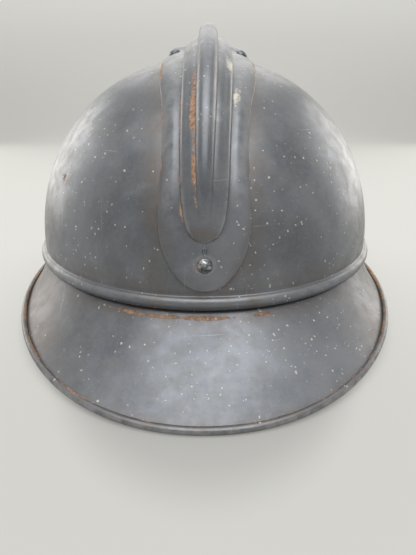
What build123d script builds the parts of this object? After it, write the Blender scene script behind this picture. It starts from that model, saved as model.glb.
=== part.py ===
# A crested steel helmet of the First World War, standing on its rim.
# Millimetres, +Z up, front towards -Y, the wearer's left towards +X.
# The pieces are drawn about the middle of the bowl's base bead, then lifted onto the table.
from build123d import *
import math
import os

os.makedirs("parts", exist_ok=True)

# Bowl: its outer face is a superellipse turned round the upright axis, then stretched lengthwise
bowl_half_width = 99.4
bowl_half_length = 110.2
bowl_height = 103.1
bowl_power_share = 2.08
sheet = 0.7
bead_proud = 2.6
bead_above = 2.4
bead_below = 3.6
vent_length = 58.0
vent_width = 12.0
open_crown = 5.9
bowl_arc_count = 3
stretch_share = bowl_half_length / bowl_half_width

# Brim: visor and neck guard, each with its edge rolled into a hem
side_reach = 111.0
front_reach = 153.6
rear_reach = 140.4
side_drop = 25.5
end_drop = 34.3
hem_radius = 1.7
brim_tuck = 1.2
brim_seat_gap = 0.2
brim_seam_gap = 0.3
brim_flare_share = 0.06
brim_power_share = 2.08
brim_station_count = 13

# Crest: a flat flange, a step and a hollow ridge along the top
flange_half_width = 23.6
crest_gap = 0.12
step_height = 8.9
step_half_width = 11.0
step_corner = 2.8
ridge_height = 16.0
ridge_half_width = 5.7
crest_root = 9.0
crest_margin = 4.0
# Places along the bowl's front curve, as shares of its length from base to top, each with
# its half width as a share of the widest
flange_shares = [
    (0.038, 0.10), (0.048, 0.22), (0.071, 0.39), (0.099, 0.58), (0.132, 0.70), (0.169, 0.78),
    (0.218, 0.81), (0.303, 0.79), (0.392, 0.76), (0.466, 0.775), (0.563, 0.84), (0.671, 0.94),
    (0.83, 0.99), (1.0, 1.0),
]
step_shares = [
    (0.135, 0.34), (0.165, 0.48), (0.20, 0.68), (0.235, 0.79), (0.30, 0.83), (0.40, 0.875),
    (0.52, 0.91), (0.68, 0.95), (0.84, 0.99), (1.0, 1.0),
]
ridge_shares = [
    (0.185, 0.34), (0.21, 0.46), (0.24, 0.66), (0.29, 0.75), (0.38, 0.81), (0.50, 0.90),
    (0.65, 0.95), (0.82, 0.99), (1.0, 1.0),
]
step_nose_share = 0.15
ridge_nose_share = 0.20
step_rise_share = 0.8
ridge_rise_share = 0.5
ridge_shoulder_share = 1.28
ridge_crown_share = 0.77

# Rivets
crest_rivet_head = 6.6
crest_rivet_height = 1.9
ear_rivet_head = 5.8
ear_rivet_height = 1.3
rivet_shank = 2.6
rivet_tail_height = 0.8
rivet_tail_share = 0.8
rivet_seat_gap = 0.15
rivet_hole_gap = 0.25
front_rivet_up = 16.6
ear_rivet_out = 19.5
ear_rivet_forward = 8.0
lug_rivet_head = 4.6
lug_rivet_height = 0.8

# Chin strap lugs and rings
lug_sheet = 0.9
lug_width = 18.0
lug_curl_width = 12.0
lug_length_below = 5.0
lug_length_above = 6.0
lug_gap = 0.5
lug_curl_angle = 250.0
lug_rivet_spacing = 11.0
ring_wire = 3.0
ring_length = 15.0
ring_width = 19.0
ring_corner = 3.0
ring_knuckle_gap = 0.25
ring_rest_angle = 45.0

# Chin strap and its slide
strap_width = 14.0
strap_thickness = 1.6
strap_gap = 0.3
strap_slack_gap = 0.2
strap_flat_half_length = 50.0
strap_bend = 12.0
strap_end_lap = 22.0
strap_lap_start = 11.0
strap_lap_turn = 3.0
strap_tail_x = -46.0
slide_wall = 1.0
slide_length = 12.0
slide_x = -30.0
slide_floor_gap = 0.3
slide_corner = 1.2

# Liner: corrugated spacers, felt and leather inside the bowl, with four lugs
liner_gap = 0.3
spacer_depth = 6.5
spacer_sheet = 0.6
spacer_low = 8.0
spacer_high = 30.0
spacer_span = 50.0
spacer_wave_count = 7
spacer_bow_room = 0.6
spacer_flat_share = 0.30
felt_thickness = 3.0
felt_low = 3.0
felt_high = 36.0
leather_thickness = 1.5
leather_low = 1.0
leather_high = 38.0
liner_lug_sheet = 0.8
liner_lug_width = 8.0
liner_lug_low = 4.0
liner_lug_high = 13.8
liner_lug_clearance = 0.4

# Tongues of the liner, gathered round an open crown
tongue_count = 7
tongue_thickness = 1.3
tongue_sewn_low = 26.0
tongue_top = 80.0
tongue_tip_radius = 20.0
tongue_eyelet = 3.2
tongue_eyelet_inset = 5.0
tongue_tip_half_width = 5.5
tongue_base_half_width = 34.0
tongue_shoulder_shares = [(0.70, 0.64), (0.83, 0.45)]

cut_overrun = 2.0

# Worked out from the sizes above
centre_y = (front_reach - rear_reach) / 2
seam_height = end_drop
brim_inner_z = bead_below + brim_seat_gap + sheet / 2
felt_inset = 2 * liner_gap + spacer_depth + spacer_bow_room
leather_inset = felt_inset + felt_thickness + liner_gap
liner_stack = leather_inset + leather_thickness
tongue_gap = strap_slack_gap


def place(shape):
    """Lift a piece from the bowl's own axes onto the table."""
    return Pos(0, centre_y, seam_height) * shape


def stretched(shape):
    """Turn a round form into the bowl's oval one."""
    return scale(shape, by=(1, stretch_share, 1))


def bowl_radius(height, outset=0.0):
    """Radius of the bowl's outer face across the helmet at a height, moved outwards."""
    top = bowl_height + outset
    power = bowl_power_share
    return (bowl_half_width + outset) * (1 - (height / top) ** power) ** (1 / power)


def bowl_line(outset, base):
    """Half outline of the round bowl, as arcs from a height up to the crown's small hole."""
    half, top, power = bowl_half_width + outset, bowl_height + outset, bowl_power_share
    first = math.asin((base / top) ** (power / 2))
    last = math.acos((open_crown / half) ** (power / 2))
    spots = []
    for step in range(2 * bowl_arc_count + 1):
        angle = first + (last - first) * step / (2 * bowl_arc_count)
        across = half * math.cos(angle) ** (2 / power)
        spots.append((across, 0, top * math.sin(angle) ** (2 / power)))
    return Wire([ThreePointArc(*spots[i:i + 3]) for i in range(0, 2 * bowl_arc_count, 2)])


def bowl_blank(outset):
    """The whole round bowl as a solid, moved outwards by a length, without its bead."""
    line = bowl_line(outset, 0)
    top = Vector(0, 0, (line @ 1).Z)
    edges = line.edges() + [Line((0, 0, 0), line @ 0), Line(line @ 1, top), Line(top, (0, 0, 0))]
    return revolve(make_face(edges), axis=Axis.Z)


def bowl_point(across, along, stretch):
    """Point and outward direction on the bowl's outer face, with its length stretched."""
    power = bowl_power_share
    half_length = bowl_half_width * stretch
    share = math.hypot(across / bowl_half_width, along / half_length)
    height = bowl_height * (1 - share ** power) ** (1 / power)
    slope = share ** (power - 2) if share else 0
    normal = Vector(
        slope * across / bowl_half_width ** 2,
        slope * along / half_length ** 2,
        height ** (power - 1) / bowl_height ** power,
    )
    return Vector(across, along, height), normal.normalized()


def front_curve(count=400):
    """Points of the round bowl's front curve, from base to top, and how far along each lies."""
    points = []
    for step in range(count + 1):
        angle = math.pi / 2 * step / count
        along = -bowl_half_width * abs(math.cos(angle)) ** (2 / bowl_power_share)
        points.append((along, bowl_height * math.sin(angle) ** (2 / bowl_power_share)))
    points[-1] = (0, bowl_height)
    lengths = [0.0]
    for (y1, z1), (y2, z2) in zip(points, points[1:]):
        lengths.append(lengths[-1] + math.hypot(y2 - y1, z2 - z1))
    return points, lengths


front_points, front_lengths = front_curve()


def front_plane(share, side):
    """Plane across the front curve, or the rear one: x across the helmet, y outwards."""
    wanted = share * front_lengths[-1] * 0.999999
    index = next(i for i, length in enumerate(front_lengths) if length >= wanted)
    along, height = front_points[index]
    _, normal = bowl_point(0, along, 1)
    point = (0, side * along, height)
    return Plane(origin=point, x_dir=(1, 0, 0), z_dir=(0, -normal.Z, side * normal.Y))


def crest_planes(shares):
    """The stations of a table, from the front end over the top to the rear end."""
    front = [(front_plane(share, 1), share, width) for share, width in shares]
    rear = [(front_plane(share, -1), share, width) for share, width in shares[:-1]]
    return front + rear[::-1]


def rise(share, nose, power):
    """Share of its full height that a raised form has at a place along the front curve."""
    along = (share - nose) / (1 - nose)
    if along < 0:
        return 3 * along
    return (1 - (1 - along) ** 2) ** power


def flange_section(width):
    half = flange_half_width * width
    height = crest_root + crest_margin
    return Pos(0, crest_margin - height / 2) * Rectangle(2 * half, height)


def step_section(share, width, inset):
    half = step_half_width * width - inset
    top = step_height * rise(share, step_nose_share, step_rise_share) - inset
    corner = min(step_corner, half / 2)
    side = top - corner
    dip = corner * (1 - math.sqrt(2) / 2)
    right = Line((half, -crest_root), (half, side))
    right_arc = ThreePointArc((half, side), (half - dip, top - dip), (half - corner, top))
    roof = Line((half - corner, top), (corner - half, top))
    left_arc = ThreePointArc((corner - half, top), (dip - half, top - dip), (-half, side))
    left = Line((-half, side), (-half, -crest_root))
    floor = Line((-half, -crest_root), (half, -crest_root))
    return make_face([right, right_arc, roof, left_arc, left, floor])


def ridge_section(share, width, inset):
    half = ridge_half_width * width - inset
    top = ridge_height * rise(share, ridge_nose_share, ridge_rise_share) - inset
    crown = half * ridge_crown_share
    side = top - half * ridge_shoulder_share
    shoulder = top - crown
    outline = Polyline((-crown, shoulder), (-half, side), (-half, -crest_root),
                       (half, -crest_root), (half, side), (crown, shoulder))
    roof = ThreePointArc((crown, shoulder), (0, top), (-crown, shoulder))
    return make_face([outline, roof])


def crest_form(shares, section, inset):
    """Loft one raised form of the crest over the whole bowl."""
    return loft([plane * section(share, width, inset) for plane, share, width in crest_planes(shares)])


def rivet(head, height, shank, grip):
    """A rivet with its head's seat at the origin and its shank pointing down."""
    radius = ((head / 2) ** 2 + height ** 2) / (2 * height)
    half_turn = math.asin(head / 2 / radius) / 2
    middle = (radius * math.sin(half_turn), 0, height - radius * (1 - math.cos(half_turn)))
    dome = ThreePointArc((0, 0, height), middle, (head / 2, 0, 0))
    tail, end = shank * rivet_tail_share, -grip - rivet_tail_height
    stem = Polyline((head / 2, 0, 0), (shank / 2, 0, 0), (shank / 2, 0, -grip), (tail, 0, -grip),
                    (tail, 0, end), (0, 0, end), (0, 0, height))
    return revolve(make_face([dome, stem]), axis=Axis.Z)


def crest_rivet_seat(across, along, stretch):
    """Plane of a crest rivet's seat, just clear of the flange's outer face."""
    point, normal = bowl_point(across, along / stretch_share * stretch, stretch)
    lift = (crest_gap + sheet) * stretch + rivet_seat_gap
    return Plane(origin=point + normal * lift, z_dir=normal)


front_rivet_y = -stretch_share * bowl_radius(front_rivet_up)
crest_rivet_places = {
    "crest_rivet_front": (0, front_rivet_y),
    "crest_rivet_rear": (0, -front_rivet_y),
    "crest_rivet_left": (ear_rivet_out, -ear_rivet_forward),
    "crest_rivet_right": (-ear_rivet_out, -ear_rivet_forward),
}
crest_grip = (crest_gap + 2 * sheet) * stretch_share + 2 * rivet_seat_gap


def rivet_hole(seat, grip):
    """Cutter for the hole of a rivet."""
    length = grip + 2 * cut_overrun
    return seat * Pos(0, 0, -grip / 2) * Cylinder(rivet_shank / 2 + rivet_hole_gap, length)


crest_holes = []
for across, along in crest_rivet_places.values():
    crest_holes.append(rivet_hole(crest_rivet_seat(across, along, 1), crest_grip))


def make_bowl():
    """Thin bowl with a rolled bead round its base and a vent slot in its top."""
    outer = bowl_line(0, bead_above)
    inner = bowl_line(-sheet, 0)
    bead_middle = (bowl_half_width + bead_proud, 0, (bead_above - bead_below) / 2)
    foot = (bowl_half_width, 0, -bead_below)
    inner_foot = (bowl_half_width - sheet, 0, -bead_below)
    bead = ThreePointArc(foot, bead_middle, outer @ 0)
    top = Line(outer @ 1, inner @ 1)
    wall = Line(inner @ 0, inner_foot)
    base = Line(inner_foot, foot)
    edges = outer.edges() + inner.edges() + [bead, top, wall, base]
    bowl = revolve(make_face(edges), axis=Axis.Z)
    slot = Rot(0, 0, 90) * SlotOverall(vent_length / stretch_share, vent_width)
    vent = extrude(slot, amount=2 * bowl_height)
    return stretched(bowl - vent - crest_holes)


def make_crest():
    """Pressed crest: flange, step and hollow ridge in one sheet, alike at front and back."""
    skin = bowl_blank(crest_gap + sheet)
    flange_cutter = loft([plane * flange_section(width)
                          for plane, share, width in crest_planes(flange_shares)])
    flange = skin & flange_cutter
    step = crest_form(step_shares, step_section, 0)
    ridge = crest_form(ridge_shares, ridge_section, 0)
    step_hollow = crest_form(step_shares, step_section, sheet)
    ridge_hollow = crest_form(ridge_shares, ridge_section, sheet)
    crest = flange + step + ridge - step_hollow - ridge_hollow
    return stretched(crest - bowl_blank(crest_gap) - crest_holes)


def unit(across, up):
    """Vector of length one in a section's plane."""
    length = math.hypot(across, up)
    return across / length, up / length


class BrimSection:
    """One upright cut through the brim, at an angle round the helmet."""

    def __init__(self, degrees):
        across, along = math.cos(math.radians(degrees)), math.sin(math.radians(degrees))
        power = 2 / brim_power_share
        reach = (front_reach if along < 0 else rear_reach) - hem_radius
        rim_x = math.copysign(abs(across) ** power, across) * (side_reach - hem_radius)
        rim_y = math.copysign(abs(along) ** power, along) * reach
        inner = bowl_half_width - brim_tuck
        inner_x, inner_y = inner * across, inner * stretch_share * along
        self.origin = Vector(inner_x, inner_y, -brim_inner_z)
        drop = side_drop + (end_drop - side_drop) * along ** 2 - hem_radius
        self.reach = math.hypot(rim_x - inner_x, rim_y - inner_y)
        self.outwards = Vector((rim_x - inner_x) / self.reach, (rim_y - inner_y) / self.reach, 0)
        self.hem = (self.reach, brim_inner_z - drop)
        self.bend()

    def bend(self):
        """Work out the curve of the sheet, from under the bead to the hem."""
        turn = 2 * math.atan(2 * brim_flare_share)
        angle = math.atan2(self.hem[1], self.hem[0])
        self.end_along = (math.cos(angle + turn), math.sin(angle + turn))
        self.end_up = (-self.end_along[1], self.end_along[0])
        lift = hem_radius - sheet / 2
        self.end = (self.hem[0] - self.end_up[0] * lift, self.hem[1] - self.end_up[1] * lift)
        length = math.hypot(*self.end)
        self.along = unit(*self.end)
        self.up = (-self.along[1], self.along[0])
        sag = brim_flare_share * length
        self.middle = (self.end[0] / 2 - self.up[0] * sag, self.end[1] / 2 - self.up[1] * sag)
        angle = math.atan2(self.along[1], self.along[0]) - turn
        self.start_up = (-math.sin(angle), math.cos(angle))

    def point(self, place, direction=(0, 0), distance=0.0):
        """A point of the section in space, moved a distance in the section's plane."""
        out = place[0] + direction[0] * distance
        return self.origin + self.outwards * out + Vector(0, 0, place[1] + direction[1] * distance)

    def hem_point(self, degrees):
        """A point on the hem, at an angle from the way the sheet runs into it."""
        along, up = math.cos(math.radians(degrees)), math.sin(math.radians(degrees))
        across = self.end_along[0] * along + self.end_up[0] * up
        height = self.end_along[1] * along + self.end_up[1] * up
        return self.point(self.hem, (across, height), hem_radius)

    def face(self):
        half = sheet / 2
        top_start = self.point((0, 0), self.start_up, half)
        top_middle = self.point(self.middle, self.up, half)
        low_start = self.point((0, 0), self.start_up, -half)
        low_middle = self.point(self.middle, self.up, -half)
        meeting = 180 + math.degrees(math.asin((hem_radius - sheet) / hem_radius))
        top = ThreePointArc(top_start, top_middle, self.hem_point(meeting))
        hem_arcs = []
        stops = [meeting, 90, 0, -90]
        for start, end in zip(stops, stops[1:]):
            middle = self.hem_point((start + end) / 2)
            hem_arcs.append(ThreePointArc(self.hem_point(start), middle, self.hem_point(end)))
        low = ThreePointArc(self.hem_point(-90), low_middle, low_start)
        return make_face([top] + hem_arcs + [low, Line(low_start, top_start)])


side_section = BrimSection(0)
seam_angle = math.degrees(brim_seam_gap / 2 / bowl_half_length)


def make_brim(first_degrees):
    """Half of the brim, from one side joint round to the other."""
    span = 180 - 2 * seam_angle
    faces = []
    for station in range(brim_station_count):
        share = station / (brim_station_count - 1)
        faces.append(BrimSection(first_degrees + seam_angle + span * share).face())
    return loft(faces)


# Lug and ring at the wearer's left, drawn in the upright plane across the helmet
lug_middle_outset = sheet / 2 + lug_gap + lug_sheet / 2
lug_normal = Vector(side_section.up[0], 0, side_section.up[1])
lug_down = Vector(side_section.along[0], 0, side_section.along[1])
brim_middle = side_section.point(side_section.middle)
lug_middle = brim_middle - lug_normal * lug_middle_outset
knuckle_radius = ring_wire / 2 + ring_knuckle_gap + lug_sheet / 2
knuckle = lug_middle - lug_down * lug_length_above - lug_normal * knuckle_radius
lug_grip = 2 * rivet_seat_gap + sheet + lug_gap + lug_sheet
ring_angle = math.radians(180 + ring_rest_angle)
ring_bar = knuckle + Vector(math.cos(ring_angle), 0, math.sin(ring_angle)) * ring_length


def lug_rivet_seat(along):
    """Plane of a lug rivet's seat on the outside of the brim."""
    point = brim_middle + lug_normal * (sheet / 2 + rivet_seat_gap) + Vector(0, along, 0)
    return Plane(origin=point, z_dir=lug_normal)


lug_rivet_seats = [lug_rivet_seat(side * lug_rivet_spacing / 2) for side in (-1, 1)]
lug_holes = [rivet_hole(seat, lug_grip) for seat in lug_rivet_seats]
lug_holes = lug_holes + [mirror(hole, about=Plane.YZ) for hole in lug_holes]


def make_strap_lug():
    """Steel tab riveted inside the brim, its top rolled round the ring."""
    low = lug_middle + lug_down * lug_length_below
    high = lug_middle - lug_down * lug_length_above
    plate = Line(low, high)
    turned = math.radians(lug_curl_angle)
    curl = ThreePointArc(high, knuckle_spot(turned / 2), knuckle_spot(turned))
    start = Plane(origin=low, x_dir=(0, 1, 0), z_dir=-lug_down)
    lug = sweep(start * Rectangle(lug_width, lug_sheet), path=Wire([plate, curl]))
    notch_width = lug_width - lug_curl_width
    notch_size = 2 * (knuckle_radius + lug_sheet)
    for side in (-1, 1):
        middle = knuckle + Vector(0, side * (lug_curl_width / 2 + notch_width / 2), 0)
        lug = lug - Pos(*middle) * Box(notch_size, notch_width, notch_size)
    return lug - lug_holes


def knuckle_spot(turned):
    """Point on the middle line of the lug's curl, a turn from where the plate ends."""
    spoke = lug_normal * math.cos(turned) - lug_down * math.sin(turned)
    return knuckle + spoke * knuckle_radius


def make_ring():
    """Square wire ring from the lug's knuckle down to the strap."""
    middle = (knuckle + ring_bar) / 2
    frame = Plane(origin=middle, x_dir=(0, 1, 0), z_dir=(ring_bar - knuckle).cross(Vector(0, 1, 0)))
    loop = frame * RectangleRounded(ring_width, ring_length, ring_corner)
    path = loop.wire()
    start = Plane(origin=path @ 0, z_dir=path % 0)
    return sweep(start * Circle(ring_wire / 2), path=path)


def make_lug_rivets():
    """The two rivets of a lug as a group."""
    one = rivet(lug_rivet_head, lug_rivet_height, rivet_shank, lug_grip)
    return Part() + [seat * one for seat in lug_rivet_seats]


# Chin strap: its lower layer lies along the table, its upper layer comes back from the ring
strap_low_z = slide_floor_gap + slide_wall + strap_gap + strap_thickness / 2 - seam_height
strap_high_z = strap_low_z + strap_thickness + 2 * strap_gap + slide_wall
strap_turn = ring_wire / 2 + strap_gap + strap_thickness / 2


def strap_loop(side, flat_point):
    """Points where the strap rounds a ring's bar, from the lower layer to the upper one."""
    bar = Vector(side * ring_bar.X, 0, ring_bar.Z)
    chord = bar - flat_point
    angle = math.atan2(chord.Z, side * chord.X) - math.asin(strap_turn / chord.length)
    away = Vector(side * math.cos(angle), 0, math.sin(angle))
    up = Vector(-side * math.sin(angle), 0, math.cos(angle))
    low = bar + away * strap_turn - up * strap_turn
    high = bar + away * strap_turn + up * strap_turn
    return bar, away, up, low, high


def shifted(points, distance):
    """The same run of points, moved sideways in the upright plane across the helmet."""
    ways = [(b - a).normalized() for a, b in zip(points, points[1:])]
    sides = [Vector(-way.Z, 0, way.X) for way in ways]
    spots = [points[0] + sides[0] * distance]
    for point, before, after in zip(points[1:], sides, sides[1:]):
        spots.append(point + (before + after) * (distance / (1 + before.dot(after))))
    return spots + [points[-1] + sides[-1] * distance]


def strip_face(points, radii, thickness):
    """Side view of a strip that follows points with rounded corners."""
    turns = []
    for a, b, c in zip(points, points[1:], points[2:]):
        turns.append(math.copysign(1, (b - a).X * (c - b).Z - (b - a).Z * (c - b).X))
    sides = []
    for distance in (thickness / 2, -thickness / 2):
        sizes = [radius - turn * distance for radius, turn in zip(radii, turns)]
        sides.append(FilletPolyline(*shifted(points, distance), radius=sizes))
    left, right = sides
    return make_face([left, right, Line(left @ 0, right @ 0), Line(left @ 1, right @ 1)])


def make_strap():
    """Leather strap looped over both rings and doubled back through the slide."""
    left_flat = Vector(strap_flat_half_length, 0, strap_low_z)
    right_flat = Vector(-strap_flat_half_length, 0, strap_low_z)
    bar, away, up, low, high = strap_loop(1, left_flat)
    layer = strap_thickness + strap_slack_gap - strap_turn
    points = [
        bar - away * strap_end_lap + up * layer,
        bar - away * strap_lap_start + up * layer,
        bar - away * strap_lap_turn + up * strap_turn,
        high, low, left_flat, right_flat,
    ]
    bar, away, up, low, high = strap_loop(-1, right_flat)
    rise_point = right_flat + Vector(0, 0, strap_high_z - strap_low_z)
    points = points + [low, high, rise_point, Vector(-strap_tail_x, 0, strap_high_z)]
    tight = strap_turn - strap_slack_gap
    radii = [strap_bend / 2, strap_bend / 4, tight, tight, strap_bend, strap_bend,
             tight, tight, strap_bend]
    print("strap length", round(FilletPolyline(*points, radius=radii).length, 1))
    face = strip_face(points, radii, strap_thickness)
    return extrude(face, amount=strap_width / 2, both=True)


def make_slide():
    """Steel slide round both layers of the strap, with a web between them."""
    window_height = strap_thickness + 2 * strap_gap
    window_width = strap_width + 2 * strap_gap
    height = 2 * window_height + 3 * slide_wall
    middle = (strap_low_z + strap_high_z) / 2
    outer = RectangleRounded(window_width + 2 * slide_wall, height, slide_corner)
    face = outer
    for side in (-1, 1):
        up = side * (strap_high_z - strap_low_z) / 2
        face = face - Pos(0, up) * Rectangle(window_width, window_height)
    plane = Plane(origin=(-slide_x, 0, middle), x_dir=(0, 1, 0), z_dir=(1, 0, 0))
    return extrude(plane * face, amount=slide_length / 2, both=True)


def wall_radius(height, inset):
    """Radius across the helmet of a layer of the liner, inside the bowl's inner face."""
    return bowl_radius(height) - sheet - inset


def wall_ring(inset, thickness, low, high):
    """Oval ring that leans with the bowl's wall."""
    middle = (low + high) / 2
    lines = []
    for depth in (inset, inset + thickness):
        spots = [(wall_radius(height, depth), 0, height) for height in (low, middle, high)]
        lines.append(ThreePointArc(*spots))
    floor = Line(lines[0] @ 0, lines[1] @ 0)
    roof = Line(lines[0] @ 1, lines[1] @ 1)
    return stretched(revolve(make_face([lines[0], roof, lines[1], floor]), axis=Axis.Z))


def plan_point(radius, degrees, height):
    """Point of an oval layer at an angle round the helmet."""
    angle = math.radians(degrees)
    return radius * math.cos(angle), radius * stretch_share * math.sin(angle), height


def spacer_face(middle_degrees, height):
    """Corrugated ribbon in plan, at one height."""
    outer = wall_radius(height, liner_gap)
    inner = outer - spacer_depth + spacer_sheet
    pitch = spacer_span / spacer_wave_count
    start = middle_degrees - spacer_span / 2
    line = []
    for wave in range(spacer_wave_count):
        first = start + pitch * wave
        line += [(outer, first), (outer, first + pitch * spacer_flat_share)]
        line += [(inner, first + pitch / 2), (inner, first + pitch * (spacer_flat_share + 1 / 2))]
    line += [(outer, start + spacer_span), (outer, start + spacer_span + pitch * spacer_flat_share)]
    back = [(radius - spacer_sheet, degrees) for radius, degrees in line[::-1]]
    spots = [plan_point(radius, degrees, height) for radius, degrees in line + back]
    return make_face(Polyline(*spots, close=True))


def make_spacer(middle_degrees):
    """Corrugated aluminium strip that holds the liner off the bowl."""
    centred = middle_degrees - spacer_span / spacer_wave_count * spacer_flat_share / 2
    faces = [spacer_face(centred, height) for height in (spacer_low, spacer_high)]
    return loft(faces, ruled=True)


liner_lug_angles = (45, 135, 225, 315)


def lug_frame(degrees):
    """Plane through the liner at an angle: x outwards from the wall, y up."""
    angle = math.radians(degrees)
    outwards = Vector(math.cos(angle), math.sin(angle) / stretch_share, 0)
    spread = 1 / outwards.length
    point = plan_point(wall_radius(0, 0), degrees, 0)
    sideways = Vector(0, 0, 1).cross(outwards.normalized())
    return Plane(origin=point, x_dir=outwards.normalized(), z_dir=-sideways), spread


def make_liner_lug(degrees):
    """Steel tab brazed inside the bowl, through the liner and folded down over it."""
    frame, spread = lug_frame(degrees)
    inner = liner_stack + liner_gap
    low, high = liner_lug_low, liner_lug_high
    under = high - liner_lug_sheet
    corners = [
        (liner_gap, low), (liner_gap, high), (inner + liner_lug_sheet, high),
        (inner + liner_lug_sheet, low), (inner, low), (inner, under),
        (liner_gap + liner_lug_sheet, under), (liner_gap + liner_lug_sheet, low),
    ]
    spots = [((wall_radius(z, inset) - wall_radius(0, 0)) * spread, z) for inset, z in corners]
    face = frame * make_face(Polyline(*spots, close=True))
    return extrude(face, amount=liner_lug_width / 2, both=True)


def liner_slot(degrees):
    """Cutter for the slot that a lug passes through in felt and leather."""
    frame, spread = lug_frame(degrees)
    middle = liner_lug_high - liner_lug_sheet / 2
    depth = 2 * liner_stack * spread
    width = liner_lug_width + 2 * liner_lug_clearance
    height = liner_lug_sheet + 2 * liner_lug_clearance
    return frame * Pos(-depth / 2, middle, 0) * Box(depth, height, width)


liner_slots = [liner_slot(degrees) for degrees in liner_lug_angles]


def tongue_cap():
    """Open crown of leather from which the tongues are cut."""
    inset = liner_stack + tongue_gap
    low = Vector(wall_radius(tongue_sewn_low, inset), 0, tongue_sewn_low)
    bend = Vector(wall_radius(leather_high, inset), 0, leather_high)
    tip = Vector(tongue_tip_radius, 0, tongue_top)
    up = (bend - low).normalized()
    inward = Vector(-up.Z, 0, up.X)
    chord = tip - bend
    radius = chord.length ** 2 / (2 * chord.dot(inward))
    centre = bend + inward * radius
    halfway = ((bend - centre) + (tip - centre)).normalized()
    to_tip = (tip - centre).normalized()
    lines = []
    for size, shift in ((radius, 0), (radius - tongue_thickness, tongue_thickness)):
        start, turn = low + inward * shift, bend + inward * shift
        arc = ThreePointArc(turn, centre + halfway * size, centre + to_tip * size)
        lines.append([Line(start, turn), arc])
    ends = [Line(lines[0][0] @ 0, lines[1][0] @ 0), Line(lines[0][1] @ 1, lines[1][1] @ 1)]
    return revolve(make_face(lines[0] + lines[1] + ends), axis=Axis.Z)


def tongue_outline():
    """Plan of one tongue, with an eyelet hole near its rounded tip."""
    base = bowl_half_width
    tip = tongue_tip_radius + tongue_tip_half_width
    sides = [(base, tongue_base_half_width)]
    for reach_share, width_share in tongue_shoulder_shares:
        distance = base - (base - tip) * reach_share
        sides.append((distance, tongue_base_half_width * width_share))
    upper = Spline(*sides, (tip, tongue_tip_half_width))
    lower = mirror(upper, about=Plane.XZ)
    nose = ThreePointArc(upper @ 1, (tongue_tip_radius, 0), lower @ 1)
    back = Line(upper @ 0, lower @ 0)
    eyelet = Pos(tongue_tip_radius + tongue_eyelet_inset, 0) * Circle(tongue_eyelet / 2)
    return make_face([upper, nose, lower, back]) - eyelet


def make_tongue(cap, number):
    degrees = 360 * (number - 1) / tongue_count + 270
    prism = extrude(tongue_outline(), amount=bowl_height)
    return stretched(Rot(0, 0, degrees) * (cap & prism))


def save(name, shape):
    """Write one node in its place on the table."""
    export_step(place(shape), "parts/" + name + ".step")
    print(name, round(shape.volume, 1))


def save_shells():
    save("bowl", make_bowl())
    save("crest", make_crest())
    holes = lug_holes
    save("front_visor", make_brim(180) - holes)
    save("neck_guard", make_brim(0) - holes)


def save_rivets():
    for name, (across, along) in crest_rivet_places.items():
        if across:
            one = rivet(ear_rivet_head, ear_rivet_height, rivet_shank, crest_grip)
        else:
            one = rivet(crest_rivet_head, crest_rivet_height, rivet_shank, crest_grip)
        save(name, crest_rivet_seat(across, along, stretch_share) * one)


def save_strap():
    lug, ring, rivets = make_strap_lug(), make_ring(), make_lug_rivets()
    for name, shape in (("strap_lug", lug), ("strap_ring", ring), ("lug_rivets", rivets)):
        save("left_" + name, shape)
        save("right_" + name, mirror(shape, about=Plane.YZ))
    save("chin_strap", make_strap())
    save("strap_slide", make_slide())


def save_liner():
    for name, degrees in (("left", 0), ("rear", 90), ("right", 180), ("front", 270)):
        save("spacer_" + name, make_spacer(degrees))
    for number, degrees in enumerate(liner_lug_angles, start=1):
        save("liner_lug_" + str(number), make_liner_lug(degrees))
    felt = wall_ring(felt_inset, felt_thickness, felt_low, felt_high)
    save("felt_band", felt - liner_slots)
    leather = wall_ring(leather_inset, leather_thickness, leather_low, leather_high)
    save("sweatband", leather - liner_slots)
    cap = tongue_cap()
    for number in range(1, tongue_count + 1):
        save("liner_tongue_" + str(number), make_tongue(cap, number))


save_shells()
save_rivets()
save_strap()
save_liner()
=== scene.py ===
# %% [markdown]
# # A crested steel helmet, dressed around its CAD frame
# The helmet is a thin pressed bowl with a rolled bead, a visor, a neck guard and a
# pressed crest, all painted blue-grey and worn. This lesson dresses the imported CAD
# model: it loads the frame first, because every later piece is placed by its sizes.

# %% Load the frame
import math

import bmesh
import bpy
import numpy as np
from mathutils import Matrix, Vector, noise


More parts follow.
